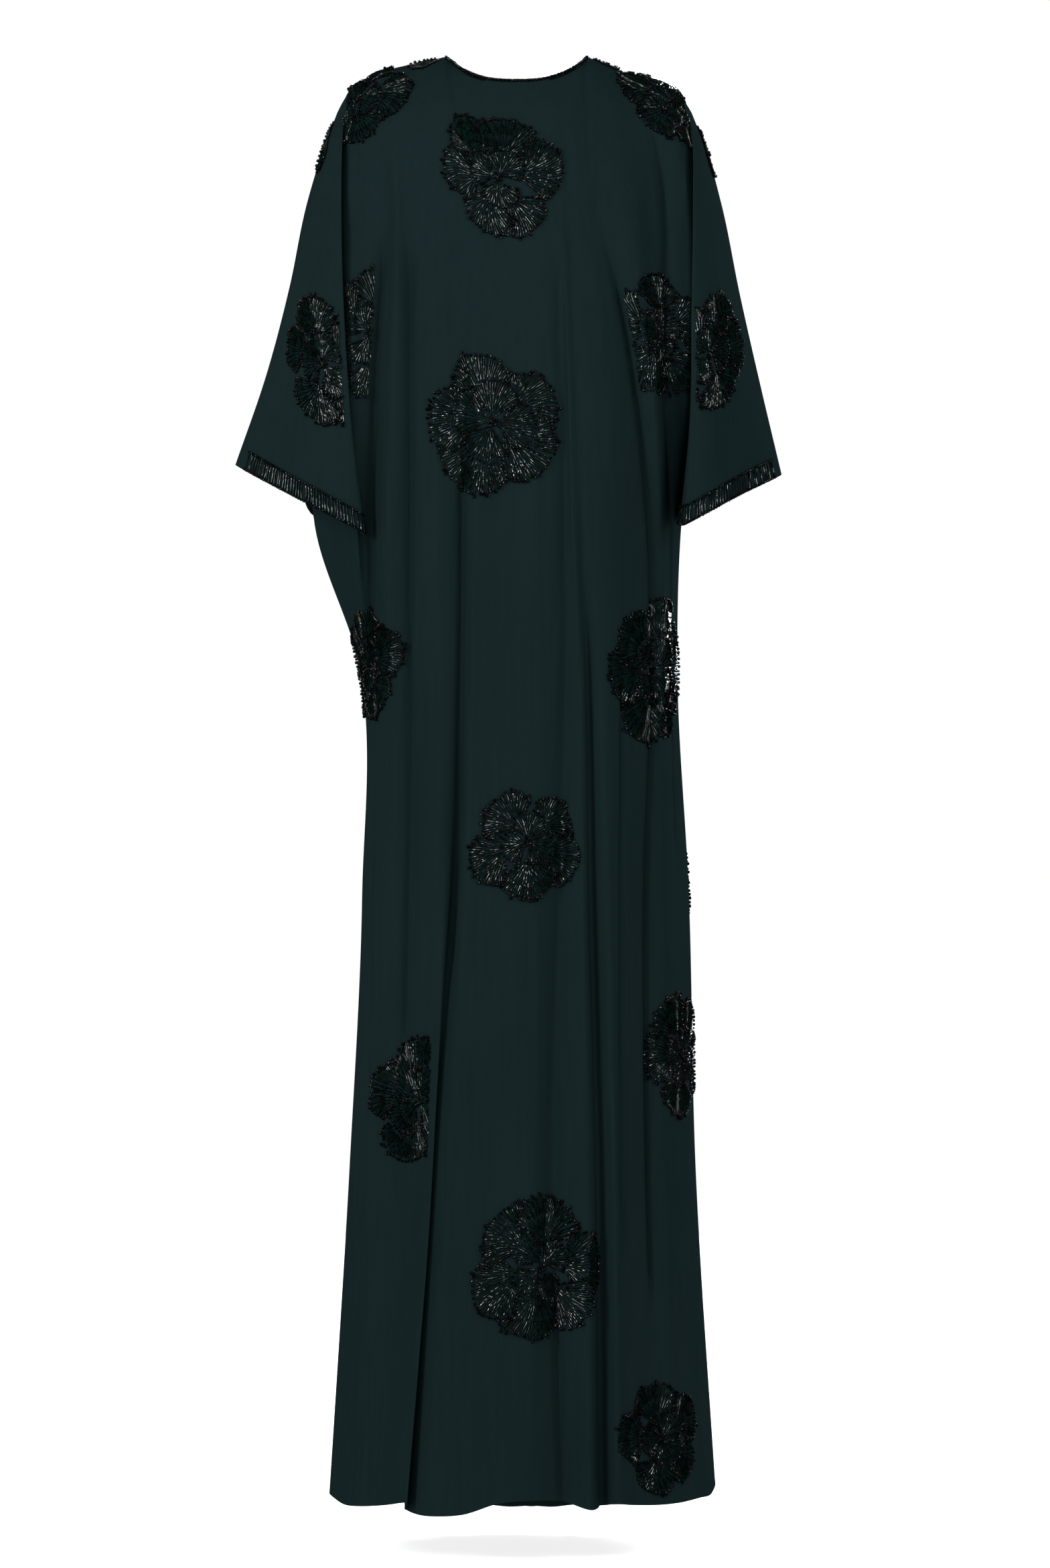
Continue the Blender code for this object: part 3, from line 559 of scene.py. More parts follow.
# Bead-worked flowers: place across and down, size, how many outer and inner
# petals, turn in degrees, and the lines of the panel between which one stays
Flower = namedtuple("Flower", "name panel across down radius petals inner turn first last",
                    defaults=("overarm_left", "overarm_right"))
FLOWERS = (
    Flower("flower_chest", "front", -20, 136, 68, 6, 3, 10),
    Flower("flower_waist", "front", -24, 390, 74, 5, 4, 30),
    Flower("flower_shoulder_left", "front", -166, 48, 60, 5, 3, 55, "side_left"),
    Flower("flower_arm_left", "front", -201, 97, 29, 4, 0, 0, last="sleeve_edge_left"),
    Flower("flower_collar_left", "front", -93, 7, 17, 4, 0, 0, last="trough_3"),
    Flower("flower_shoulder_right", "front", 164, 52, 58, 5, 3, 15, last="side_right"),
    Flower("flower_arm_right", "front", 201, 101, 26, 4, 0, 0, "sleeve_edge_right"),
    Flower("flower_collar_right", "front", 91, 7, 15, 4, 0, 0, "trough_6"),
    Flower("flower_sleeve_left", "front", -199, 328, 68, 5, 3, 40, last="sleeve_edge_left"),
    Flower("flower_side_left", "front", -152, 297, 70, 5, 3, 0, "side_left", "trough_1"),
    Flower("flower_side_right", "front", 146, 300, 68, 5, 3, 20, "trough_6", "side_right"),
    Flower("flower_sleeve_right", "front", 201, 321, 62, 5, 3, 65, "sleeve_edge_right"),
    Flower("flower_hip_left", "front", -156, 641, 62, 5, 3, 12),
    Flower("flower_hip_right", "front", 140, 643, 78, 6, 4, 0),
    Flower("flower_thigh", "front", 13, 821, 60, 5, 3, 50),
    Flower("flower_knee_left", "front", -100, 1088, 64, 5, 4, 25, last="crest_3"),
    Flower("flower_knee_right", "front", 170, 1046, 66, 5, 4, 45),
    Flower("flower_lower_middle", "front", 27, 1259, 76, 6, 4, 15),
    Flower("flower_hem_right", "front", 150, 1441, 58, 5, 3, 35),
    Flower("flower_back_upper", "back", 12, 215, 66, 6, 3, 20),
    Flower("flower_back_shoulder_left", "back", -110, 42, 48, 5, 3, 35, last="trough_3"),
    Flower("flower_back_shoulder_right", "back", 110, 42, 48, 5, 3, 5, "trough_6"),
    Flower("flower_back_waist", "back", -70, 430, 68, 5, 4, 10),
    Flower("flower_back_hip", "back", 84, 640, 68, 6, 3, 0),
    Flower("flower_back_side", "back", 170, 873, 54, 5, 3, 40),
    Flower("flower_back_thigh", "back", -100, 900, 64, 5, 3, 60),
    Flower("flower_back_knee", "back", 42, 1110, 68, 5, 4, 30),
    Flower("flower_back_lower", "back", -84, 1330, 66, 6, 4, 5),
)

# The ends of flowers that come round an edge: the base, heading and reach of each
# petal and the angle that it spreads over, in degrees. The upper petal is last.
Fan = namedtuple("Fan", "x y heading reach spread")
FANS = {
    "flower_arm_left": (Fan(3, 36, -93, 64, 46), Fan(3, 36, -93, 37, 48)),
    "flower_arm_right": (Fan(-3, 34, -87, 59, 46), Fan(-3, 34, -87, 34, 48)),
    "flower_collar_left": (Fan(19, 1, 184, 37, 50),),
    "flower_collar_right": (Fan(-17, 1, -4, 33, 50),),
}

# How near a flower's beads come to its first and last lines, as a share of the
# space to the next line
FOLD_MARGIN = 0.3

# How a point seen flat on is found on the cloth: the places tried in each cell, the
# distance that counts as a hit, and how much a millimetre nearer the viewer is worth
SEARCH_STEPS = 2
SEARCH_REACH = 2
NEARER_IS_BETTER = 0.001
TINY = 1e-6

# Beads, in millimetres: short tubes in rows, and round ones at their ends. Names in
# SIZES are shares of a bead's radius. A pair is the least and the most of a chance.
TUBE_LENGTH, TUBE_PERIOD, TUBE_RADIUS = 1.85, 2.2, 0.78
TUBE_SIDES = 5
TUBE_SIZES = 0.9, 1.1
TUBE_LIFT = 0.02, 0.38
ROUND_RADIUS = 1.9
BEAD_SIDES, BEAD_RINGS = 6, 4

# A round bead's centre is this share of its radius off the cloth. Where a normal's
# upward part is over STEEP, the bead is turned from another axis.
ROUND_SITS = 0.95
STEEP = 0.9

# The rays of a petal are this far apart at its rim. Near its base every second ray
# stops, then every fourth and eighth, so that they stay RAY_CROWDING apart.
RAY_SPACING = 2.9
RAY_CROWDING = 1.5
RAY_HALVINGS = 8
FEWEST_RAYS = 5
RAY_START, RAY_END = (0, 1.5), (-0.9, 0.9)
RAY_STRAY = 0.008

# The round beads along a petal's rim: their spacing, how far out they are and how
# much they stray, the share of them that is doubled and how far out the second is
ROUND_SPACING = 4.0
FEWEST_ROUNDS = 3
RIM_OUT = 0.48
RIM_WANDER = -0.7, 0.7
RIM_SIZES = 0.8, 1.12
RIM_STRAY = 0.012
DOUBLED = 0.28
DOUBLE_OUT = 2.4, 3.2

# The round beads up its sides: how far aside, in shares of half its spread, between
# which shares of its reach, and their spacing in shares of their radius
SIDE_SHARE = 1.03
SIDE_START, SIDE_END = 0.3, 0.74
SIDE_SPACING = 2.15
SIDE_WANDER = -0.5, 0.5
SIDE_SIZES = 0.75, 1.0

# How far past its rim a petal hides beads of the next petal, and of the lower ring
UNDER_NEXT, UNDER_UPPER = 1.4, 3.0

# The spiral of round beads at a flower's heart: the turn from bead to bead, and the
# distance from the middle of the second one
HEART_BEADS = 9
HEART_TURN = 2.4
HEART_SPACING = 1.9
HEART_SIZES = 0.9, 1.1

# A petal: its base and heading, its reach, the angle it spreads over, its bend
# and how uneven its rim is. Its rays open outwards from FAN_START of that angle.
Petal = namedtuple("Petal", "base heading reach spread bend notch")
FAN_START = 0.78
RIM_ROUNDING, RIM_POWER = 0.24, 2.4
NOTCHES, NOTCH_TURN = 9, 5

# How petals differ: headings, reaches and spreads, bends of the petals of a ring and
# of a lone fan, depths of notches, and the turn from the outer ring to the inner one
HEADING_STRAY = 0.1
REACHES, SPREADS = (0.9, 1.08), (0.94, 1.06)
BENDS, FAN_BENDS = (-0.12, 0.12), (-0.08, 0.08)
NOTCH_DEPTHS = 0, 0.03
INNER_TURN = 15, 45

# Shares of a flower's radius, and angles in degrees, for its outer and inner
# petals: an open flower has parted petals, and a full one overlapping petals
Form = namedtuple("Form", "base reach spread inner_base inner_reach inner_spread")
OPEN = Form(base=0.30, reach=0.66, spread=128, inner_base=0.05, inner_reach=0.41, inner_spread=1.1)
FULL = Form(base=0.17, reach=0.80, spread=104, inner_base=0.05, inner_reach=0.52, inner_spread=1.15)
FULL_FLOWERS = ("flower_waist", "flower_knee_left", "flower_back_waist", "flower_back_knee")


def petal_rim(petal, share):
    """How far a petal reaches, at a share of its spread from -1 to 1."""
    rounding = 1 - RIM_ROUNDING * np.abs(share) ** RIM_POWER
    notches = 1 + petal.notch * np.cos(share * NOTCHES + petal.heading * NOTCH_TURN)
    return petal.reach * rounding * notches


def fan_shape(petal, radius):
    """A petal's heading, and how far it is opened, at a distance from its base."""
    out = radius / petal.reach
    return petal.heading + petal.bend * out ** 2, FAN_START + (1 - FAN_START) * out


def in_petal(petal, x, y, margin):
    """Whether places in the flat are within a petal or its margin."""
    dx, dy = x - petal.base[0], y - petal.base[1]
    radius = np.hypot(dx, dy)
    heading, opening = fan_shape(petal, radius)
    turn = np.angle(np.exp(1j * (np.arctan2(dy, dx) - heading)))
    share = turn / (petal.spread / 2) / opening
    reach = petal_rim(petal, np.clip(share, -1, 1))
    return (np.abs(share) <= 1) & (radius <= reach + margin)


def fan_place(petal, share, radius, stray=0.0):
    """A place on a petal's ray, at a share of its spread and a distance from its base."""
    heading, opening = fan_shape(petal, radius)
    angle = heading + share * petal.spread / 2 * opening + stray
    return petal.base[0] + radius * math.cos(angle), petal.base[1] + radius * math.sin(angle)


def petal_rays(petal, random):
    """Ends of a petal's tube beads, with fewer of its rays near its base."""
    count = max(int(petal.reach * petal.spread / RAY_SPACING), FEWEST_RAYS)
    step = petal.spread / (count - 1)
    tubes = []
    for ray in range(count):
        share = 2 * ray / (count - 1) - 1
        stride = math.gcd(ray, RAY_HALVINGS)
        start = RAY_CROWDING / (stride * step * FAN_START) + random.uniform(*RAY_START)
        end = float(petal_rim(petal, share)) + random.uniform(*RAY_END)
        stray = random.normal(0, RAY_STRAY)
        for low in np.arange(start, end - TUBE_PERIOD, TUBE_PERIOD):
            tubes.append(fan_place(petal, share, low, stray)
                         + fan_place(petal, share, low + TUBE_LENGTH, stray))
    return np.array(tubes)


def petal_edge(petal, random):
    """Places and sizes of the round beads along a petal's rim and sides."""
    rounds = []
    count = max(int(petal.reach * petal.spread / ROUND_SPACING), FEWEST_ROUNDS)
    for share in np.linspace(-1, 1, count):
        radius = float(petal_rim(petal, share)) + RIM_OUT + random.uniform(*RIM_WANDER)
        outs = [radius]
        if random.uniform() < DOUBLED:
            outs.append(radius + random.uniform(*DOUBLE_OUT))
        for out in outs:
            size = ROUND_RADIUS * random.uniform(*RIM_SIZES)
            rounds.append(fan_place(petal, share, out, random.normal(0, RIM_STRAY)) + (size,))
    start, end = SIDE_START * petal.reach, SIDE_END * petal.reach
    for share in (-SIDE_SHARE, SIDE_SHARE):
        for radius in np.arange(start, end, SIDE_SPACING * ROUND_RADIUS):
            size = ROUND_RADIUS * random.uniform(*SIDE_SIZES)
            rounds.append(fan_place(petal, share, radius + random.uniform(*SIDE_WANDER)) + (size,))
    return np.array(rounds)


def ring_of_petals(count, turn, base, reach, spread, random):
    """Like petals round a flower's heart, with some unevenness."""
    petals = []
    for index in range(count):
        heading = math.radians(turn + 360 * index / count) + random.normal(0, HEADING_STRAY)
        petals.append(Petal((base * math.cos(heading), base * math.sin(heading)), heading,
                            reach * random.uniform(*REACHES), spread * random.uniform(*SPREADS),
                            random.uniform(*BENDS), random.uniform(*NOTCH_DEPTHS)))
    return petals


def fan_petals(flower, random):
    """The petals of a flower's end, as rings of one petal each."""
    petals = []
    for fan in FANS[flower.name]:
        petals.append(Petal((fan.x, fan.y), math.radians(fan.heading), fan.reach,
                            math.radians(fan.spread), random.uniform(*FAN_BENDS),
                            random.uniform(*NOTCH_DEPTHS)))
    return petals[:1], petals[1:]


def flower_petals(flower, random):
    """The outer and the inner petals of one flower."""
    if flower.name in FANS:
        return fan_petals(flower, random)
    form = FULL if flower.name in FULL_FLOWERS else OPEN
    size = flower.radius
    outer = ring_of_petals(flower.petals, flower.turn, form.base * size, form.reach * size,
                           math.radians(form.spread), random)
    inner = ring_of_petals(flower.inner, flower.turn + random.uniform(*INNER_TURN),
                           form.inner_base * size, form.inner_reach * size,
                           2 * math.pi / flower.inner * form.inner_spread, random)
    return outer, inner


def covered(petals, index, above, x, y):
    """Whether places of a petal lie under the petals of its ring or an upper one."""
    over = np.zeros(len(x), bool)
    if len(petals) > 1:
        over = in_petal(petals[index - 1], x, y, UNDER_NEXT)
    for petal in above:
        over = over | in_petal(petal, x, y, UNDER_UPPER)
    return over


def flower_beads(flower, random):
    """All of one flower's beads, in the flat: right and up from its centre."""
    outer, inner = flower_petals(flower, random)
    tubes, rounds = [], []
    for petals, above in ((outer, inner), (inner, [])):
        for index, petal in enumerate(petals):
            rays = petal_rays(petal, random)
            ends = petal_edge(petal, random)
            middle = (rays[:, :2] + rays[:, 2:]) / 2
            tubes.append(rays[~covered(petals, index, above, middle[:, 0], middle[:, 1])])
            rounds.append(ends[~covered(petals, index, above, ends[:, 0], ends[:, 1])])
    heart = []
    for index in range(0 if flower.name in FANS else HEART_BEADS):
        angle = HEART_TURN * index
        radius = HEART_SPACING * math.sqrt(index)
        heart.append((radius * math.cos(angle), radius * math.sin(angle),
                      ROUND_RADIUS * random.uniform(*HEART_SIZES)))
    rounds.append(np.array(heart).reshape(-1, 3))
    return np.concatenate(tubes), np.concatenate(rounds)


class Rows:
    """Distances along a panel's rows and columns, for laying work on the cloth."""

    def __init__(self, panel):
        self.panel = panel
        self.across = distances(panel.points, 1)
        self.down = distances(panel.points, 0)

    def find(self, across, down):
        """Column and row of the outermost place at a point, seen flat on."""
        points = self.panel.points
        best = None
        corners = points[:-1, :-1], points[:-1, 1:], points[1:, :-1], points[1:, 1:]
        for along, drop in np.ndindex(SEARCH_STEPS, SEARCH_STEPS):
            u, v = along / SEARCH_STEPS, drop / SEARCH_STEPS
            shares = (1 - u) * (1 - v), u * (1 - v), (1 - u) * v, u * v
            place = sum(corner * share for corner, share in zip(corners, shares))
            error = np.hypot(place[..., 0] - across, place[..., 2] + down)
            cost = np.maximum(error, SEARCH_REACH) - np.abs(place[..., 1]) * NEARER_IS_BETTER
            row, column = np.unravel_index(np.nanargmin(cost), cost.shape)
            if best is None or cost[row, column] < best[0]:
                best = cost[row, column], column + u, row + v
        return best[1], best[2]

    def lay(self, centre, right, up):
        """Columns and rows at distances from a centre, and which are on the cloth."""
        u0, v0 = centre
        panel = self.panel
        low = min(int(u0), panel.width - 2)
        down = self.down[:, low] * (1 - u0 + low) + self.down[:, low + 1] * (u0 - low)
        rows = np.arange(panel.rows)
        want = np.interp(v0, rows, down) - up
        v = np.interp(want, down, rows)
        fine = (want >= down[0]) & (want <= down[-1])
        row = np.minimum(v.astype(int), panel.rows - 2)
        share = (v - row)[:, None]
        along = self.across[row] * (1 - share) + self.across[row + 1] * share
        start = along[:, low] * (1 - u0 + low) + along[:, low + 1] * (u0 - low)
        target = start + right
        fine &= (target >= along[:, 0]) & (target <= along[:, -1])
        column = np.clip((along <= target[:, None]).sum(axis=1) - 1, 0, panel.width - 2)
        index = np.arange(len(target))
        width = along[index, column + 1] - along[index, column]
        u = column + (target - along[index, column]) / np.where(width > 0, width, 1)
        return np.clip(u, 0, panel.width - 1), v, fine

    def seats(self, u, v):
        """Places on the cloth at columns and rows, and its normals there."""
        panel = self.panel
        return self.on_cloth(panel.points, u, v), unit(self.on_cloth(panel.normals, u, v))

    def on_cloth(self, grid, u, v):
        """Values between a grid's corners."""
        column = np.clip(u.astype(int), 0, grid.shape[1] - 2)
        row = np.clip(v.astype(int), 0, grid.shape[0] - 2)
        along, drop = (u - column)[:, None], (v - row)[:, None]
        return (grid[row, column] * (1 - along) * (1 - drop)
                + grid[row, column + 1] * along * (1 - drop)
                + grid[row + 1, column] * (1 - along) * drop
                + grid[row + 1, column + 1] * along * drop)


def unit(vectors):
    length = np.linalg.norm(vectors, axis=-1, keepdims=True)
    return vectors / np.where(length > 0, length, 1)


def tube_mesh(starts, ends, normals, radius):
    """Points and triangles of many tube beads, open at both ends as real ones are."""
    along = unit(ends - starts)
    side = unit(np.cross(along, normals))
    up = np.cross(side, along)
    angle = 2 * math.pi * np.arange(TUBE_SIDES) / TUBE_SIDES
    ring = (side[:, None, :] * np.cos(angle)[None, :, None]
            + up[:, None, :] * np.sin(angle)[None, :, None]) * radius[:, None, None]
    points = np.concatenate([starts[:, None, :] + ring, ends[:, None, :] + ring], axis=1)
    faces = []
    for a in range(TUBE_SIDES):
        b = (a + 1) % TUBE_SIDES
        faces += [(a, b, b + TUBE_SIDES), (a, b + TUBE_SIDES, a + TUBE_SIDES)]
    return repeated(points, np.array(faces))


def round_form():
    """Points and triangles of one round bead, with a radius of 1 and its axis upright."""
    points = [(0, 0, 1)]
    for ring in range(1, BEAD_RINGS):
        polar = math.pi * ring / BEAD_RINGS
        for step in range(BEAD_SIDES):
            turn = 2 * math.pi * (step + ring / 2) / BEAD_SIDES
            points.append((math.sin(polar) * math.cos(turn), math.sin(polar) * math.sin(turn),
                           math.cos(polar)))
    points.append((0, 0, -1))
    faces = []
    last = len(points) - 1
    base = 1 + (BEAD_RINGS - 2) * BEAD_SIDES
    for step in range(BEAD_SIDES):
        after = (step + 1) % BEAD_SIDES
        faces.append((0, 1 + step, 1 + after))
        for ring in range(BEAD_RINGS - 2):
            a, b = 1 + ring * BEAD_SIDES + step, 1 + ring * BEAD_SIDES + after
            faces += [(a, a + BEAD_SIDES, b + BEAD_SIDES), (a, b + BEAD_SIDES, b)]
        faces.append((base + step, last, base + after))
    return np.array(points), np.array(faces)


def round_mesh(centres, normals, radius):
    """Points and triangles of many round beads, each with its axis off the cloth."""
    helper = np.where(np.abs(normals[:, 2:3]) > STEEP, [[1.0, 0, 0]], [[0, 0, 1.0]])
    side = unit(np.cross(helper, normals))
    up = np.cross(normals, side)
    form, faces = round_form()
    turned = np.einsum("kc,ncd->nkd", form, np.stack([side, up, normals], axis=1))
    return repeated(centres[:, None, :] + turned * radius[:, None, None], faces)


def repeated(points, faces):
    """One mesh from like pieces: points of each piece, and the faces of the first."""
    count, size = points.shape[:2]
    offsets = np.arange(count)[:, None, None] * size
    return points.reshape(-1, 3), (faces[None] + offsets).reshape(-1, 3)


def merged(parts):
    """One mesh from several, each as points and triangles."""
    points, faces, total = [], [], 0
    for place, triangles in parts:
        points.append(place)
        faces.append(triangles + total)
        total += len(place)
    return np.concatenate(points), np.concatenate(faces)


def bead_piece(name, tubes, rounds, glass):
    """One object of beads: tubes as start, end, normal; rounds as place, normal, radius."""
    parts = []
    if len(tubes[0]):
        parts.append(tube_mesh(*tubes))
    if len(rounds[0]):
        parts.append(round_mesh(*rounds))
    piece = mesh_piece(name, *merged(parts), glass.round, BEAD_SHARP)
    if len(tubes[0]):
        piece.data.materials.append(glass.tube)
        slots = np.zeros(len(piece.data.polygons), np.int32)
        slots[:len(parts[0][1])] = 1
        piece.data.polygons.foreach_set("material_index", slots)
    return piece


def make_flower(rows, flower, seed, glass):
    """One bead-worked flower laid on its panel."""
    random = np.random.default_rng(seed)
    tubes, rounds = flower_beads(flower, random)
    panel = rows.panel
    centre = rows.find(flower.across, flower.down)
    low = panel.column[flower.first] + FOLD_MARGIN * STEPS_PER_FOLD
    high = panel.column[flower.last] - FOLD_MARGIN * STEPS_PER_FOLD

    def placed(x, y):
        u, v, fine = rows.lay(centre, x, y)
        fine &= (u > low) & (u < high)
        place, normal = rows.seats(u, v)
        return place, normal, fine & np.isfinite(place).all(axis=1)

    start, normal, fine = placed(tubes[:, 0], tubes[:, 1])
    end, _, fine_too = placed(tubes[:, 2], tubes[:, 3])
    keep = fine & fine_too
    radius = TUBE_RADIUS * random.uniform(*TUBE_SIZES, len(start))
    low_lift, high_lift = (normal * (radius + random.uniform(*TUBE_LIFT, len(start)))[:, None]
                           for _ in range(2))
    tube_set = (start + low_lift)[keep], (end + high_lift)[keep], normal[keep], radius[keep]
    place, normal, keep = placed(rounds[:, 0], rounds[:, 1])
    size = rounds[:, 2]
    round_set = (place + normal * size[:, None] * ROUND_SITS)[keep], normal[keep], size[keep]
    piece = bead_piece(flower.name + "_beads", tube_set, round_set, glass)
    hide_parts(flower.name)
    return piece


# Bands at the cuffs and the facing at the neck, in millimetres. BAND_START is a
# share of the space from the overarm to the next line, and BAND_END of the sleeve.
# Each edge of a band has round beads, at a height above the cuff and a spacing.
BAND_DEPTH = 20
BAND_SPACING = 3.8
BAND_END = 5 / 6
BAND_START = 0.35
BAND_LEAN = 0.9
BAND_ROUND = 1.65
BAND_TUBES_START = BAND_ROUND * 1.78
BAND_TUBE_LIFT = 0.3
BAND_TUBE_SIZES, BAND_ROUND_SIZES = (0.95, 1.15), (0.9, 1.1)
BAND_EDGES = (BAND_ROUND * 0.8, BAND_ROUND * 2.1), (BAND_DEPTH, BAND_SPACING)
FACING_DEPTH = 18
FACING_SHOWS = 1.5
FACING_GAP = 0.3
FACING_THICKNESS = 0.9


def edge_places(rows, row, first, last, spacing):
    """Columns at even distances along one row."""
    along = rows.across[row]
    columns_there = np.arange(len(along))
    start, end = np.interp((first, last), columns_there, along)
    count = max(int((end - start) / spacing), 1)
    distance = start + (np.arange(count) + 0.5) * (end - start) / count
    rising = along + columns_there * TINY
    return np.interp(distance, rising, columns_there)


def from_row(rows, u, row, distance):
    """Rows at distances up from a row, each along its own column."""
    low = np.clip(u.astype(int), 0, rows.panel.width - 2)
    share = u - low
    down = rows.down[:, low] * (1 - share) + rows.down[:, low + 1] * share
    return np.array([np.interp(down[row, index] - distance, down[:, index], np.arange(len(down)))
                     for index in range(len(u))])


def strip_beads(rows, u, v, radius):
    """Round beads resting on the cloth at columns and rows."""
    place, normal = rows.seats(u, v)
    return place + normal * radius[:, None] * ROUND_SITS, normal, radius


def joined(parts):
    """Like fields of several sets of beads, each put end to end."""
    return tuple(np.concatenate(part) for part in zip(*parts))


def cuff_tubes(rows, first, last, random):
    """The tube beads of a band, in columns that sway a little."""
    u = edge_places(rows, ROWS_TO_UNDERARM, first, last, BAND_SPACING)
    sway = random.uniform(-BAND_LEAN, BAND_LEAN, len(u)) / STEPS_PER_FOLD
    parts = []
    low = BAND_TUBES_START
    while low + TUBE_LENGTH < BAND_DEPTH - BAND_ROUND:
        seats = []
        for height in (low, low + TUBE_LENGTH):
            at = u + sway * math.sin(math.pi * height / BAND_DEPTH)
            seats.append(rows.seats(at, from_row(rows, at, ROWS_TO_UNDERARM, height)))
        (start, normal), (end, _) = seats
        parts.append((start, end, normal))
        low += TUBE_PERIOD
    starts, ends, normals = joined(parts)
    radius = TUBE_RADIUS * random.uniform(*BAND_TUBE_SIZES, len(starts))
    lift = normals * (radius + BAND_TUBE_LIFT)[:, None]
    return starts + lift, ends + lift, normals, radius


def cuff_rounds(rows, first, last, random):
    """The round beads along both edges of a band."""
    rounds = []
    for height, spacing in BAND_EDGES:
        edge = edge_places(rows, ROWS_TO_UNDERARM, first, last, spacing)
        v = from_row(rows, edge, ROWS_TO_UNDERARM, height)
        sizes = BAND_ROUND * random.uniform(*BAND_ROUND_SIZES, len(edge))
        rounds.append(strip_beads(rows, edge, v, sizes))
    return joined(rounds)


def make_cuff(rows, side, seed, glass):
    """The beaded band on one panel's half of a cuff."""
    panel = rows.panel
    random = np.random.default_rng(seed)
    ends = BAND_START * STEPS_PER_FOLD, panel.side * BAND_END
    if side == "right":
        ends = panel.width - 1 - ends[1], panel.width - 1 - ends[0]
    tubes = cuff_tubes(rows, *ends, random)
    rounds = cuff_rounds(rows, *ends, random)
    node = "cuff_band_%s_%s" % (side, panel.name)
    piece = bead_piece(node + "_beads", tubes, rounds, glass)
    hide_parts(node)
    return piece


# Rows of round beads at the neck: how far below its edge, their radius and spacing,
# and how far from the middle a row begins
NeckRow = namedtuple("NeckRow", "below radius spacing start")
NECK_ROWS = (NeckRow(4.0, 1.85, 4.2, 0), NeckRow(7.2, 1.2, 3.0, 34))
NECK_SIZES = 0.9, 1.08


def make_neck_edging(rows, seed, glass):
    """Round beads along one panel's neckline, with a second row towards its ends."""
    panel = rows.panel
    random = np.random.default_rng(seed)
    rounds = []
    for row in NECK_ROWS:
        u = edge_places(rows, 0, panel.neck[0], panel.neck[1], row.spacing)
        across = rows.on_cloth(panel.points, u, np.zeros(len(u)))[:, 0]
        u = u[np.abs(across) >= row.start]
        v = from_row(rows, u, 0, -row.below)
        rounds.append(strip_beads(rows, u, v, row.radius * random.uniform(*NECK_SIZES, len(u))))
    none = np.zeros((0, 3)), np.zeros((0, 3)), np.zeros((0, 3)), np.zeros(0)
    piece = bead_piece("neck_edging_" + panel.name, none, joined(rounds), glass)
    return piece


def make_facing(rows, material):
    """The facing inside one panel's neckline, which stands just above its edge."""
    panel = rows.panel
    left, right = panel.neck
    deep = from_row(rows, np.array([(left + right) / 2]), 0, -FACING_DEPTH)[0]
    count = int(math.ceil(deep)) + 1
    points = panel.points[:count, left:right + 1].copy()
    normals = panel.normals[:count, left:right + 1]
    points = np.concatenate([(points[0] + (0, 0, FACING_SHOWS))[None], points])
    normals = np.concatenate([normals[:1], normals])
    height, width = points.shape[:2]
    row, column = np.mgrid[:height - 1, :width - 1]
    a = (row * width + column).ravel()
    b, c, d = a + 1, a + width + 1, a + width
    faces = np.concatenate([np.stack([a, d, c], 1), np.stack([a, c, b], 1)])
    if panel.name == "back":
        faces = faces[:, ::-1]
    high = -(CLOTH_THICKNESS + FACING_GAP)
    shell = two_sided(points.reshape(-1, 3), normals.reshape(-1, 3), faces,
                      high, high - FACING_THICKNESS)
    piece = mesh_piece("facing_" + panel.name, *shell, material, FACING_SHARP)
    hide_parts("neck_facing_" + panel.name)
    return piece


def make_cloth(panel, material):
    """One panel of cloth, as a thin shell."""
    shell = two_sided(panel.points.reshape(-1, 3), panel.normals.reshape(-1, 3),
                      panel.triangles, 0, -CLOTH_THICKNESS)
    piece = mesh_piece("cloth_" + panel.name, *shell, material, CLOTH_SHARP)
    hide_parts(panel.name)
    return piece


class Nodes:
    """A short way to build a material's nodes."""

    def __init__(self, name):
        self.material = bpy.data.materials.new(name)
        self.material.use_nodes = True
        self.tree = self.material.node_tree
        self.shader = self.tree.nodes["Principled BSDF"]

    def set(self, **values):
        """Give the shader constant values; an underscore stands for a space."""
        for socket, value in values.items():
            self.shader.inputs[socket.replace("_", " ")].default_value = value

    def add(self, kind, **settings):
        """A new node, with values for its sockets or its own settings."""
        node = self.tree.nodes.new(kind)
        for key, value in settings.items():
            if key in node.inputs:
                node.inputs[key].default_value = value
            else:
                setattr(node, key, value)
        return node

    def link(self, start, end):
        self.tree.links.new(start, end)

    def feed(self, **results):
        """Link results to the shader's sockets."""
        for socket, result in results.items():
            self.link(result, self.shader.inputs[socket.replace("_", " ")])

    def noise(self, vector, scale, detail=2.0):
        node = self.add("ShaderNodeTexNoise", Scale=scale, Detail=detail)
        self.link(vector, node.inputs["Vector"])
        return node.outputs["Fac"]

    def stretched(self, vector, scale):
        node = self.add("ShaderNodeMapping", Scale=scale)
        self.link(vector, node.inputs["Vector"])
        return node.outputs["Vector"]

    def ranged(self, value, low, high, start=0.0, end=1.0):
        node = self.add("ShaderNodeMapRange")
        node.inputs["From Min"].default_value = start
        node.inputs["From Max"].default_value = end
        node.inputs["To Min"].default_value = low
        node.inputs["To Max"].default_value = high
        self.link(value, node.inputs["Value"])
        return node.outputs["Result"]

    def mix(self, share, first, second):
        node = self.add("ShaderNodeMix", data_type="RGBA")
        self.link(share, node.inputs["Factor"])
        node.inputs[6].default_value = (*first, 1)
        node.inputs[7].default_value = (*second, 1)
        return node.outputs[2]

    def bump(self, height, strength, distance, below=None):
        node = self.add("ShaderNodeBump", Strength=strength, Distance=distance)
        self.link(height, node.inputs["Height"])
        if below is not None:
            self.link(below, node.inputs["Normal"])
        return node.outputs["Normal"]


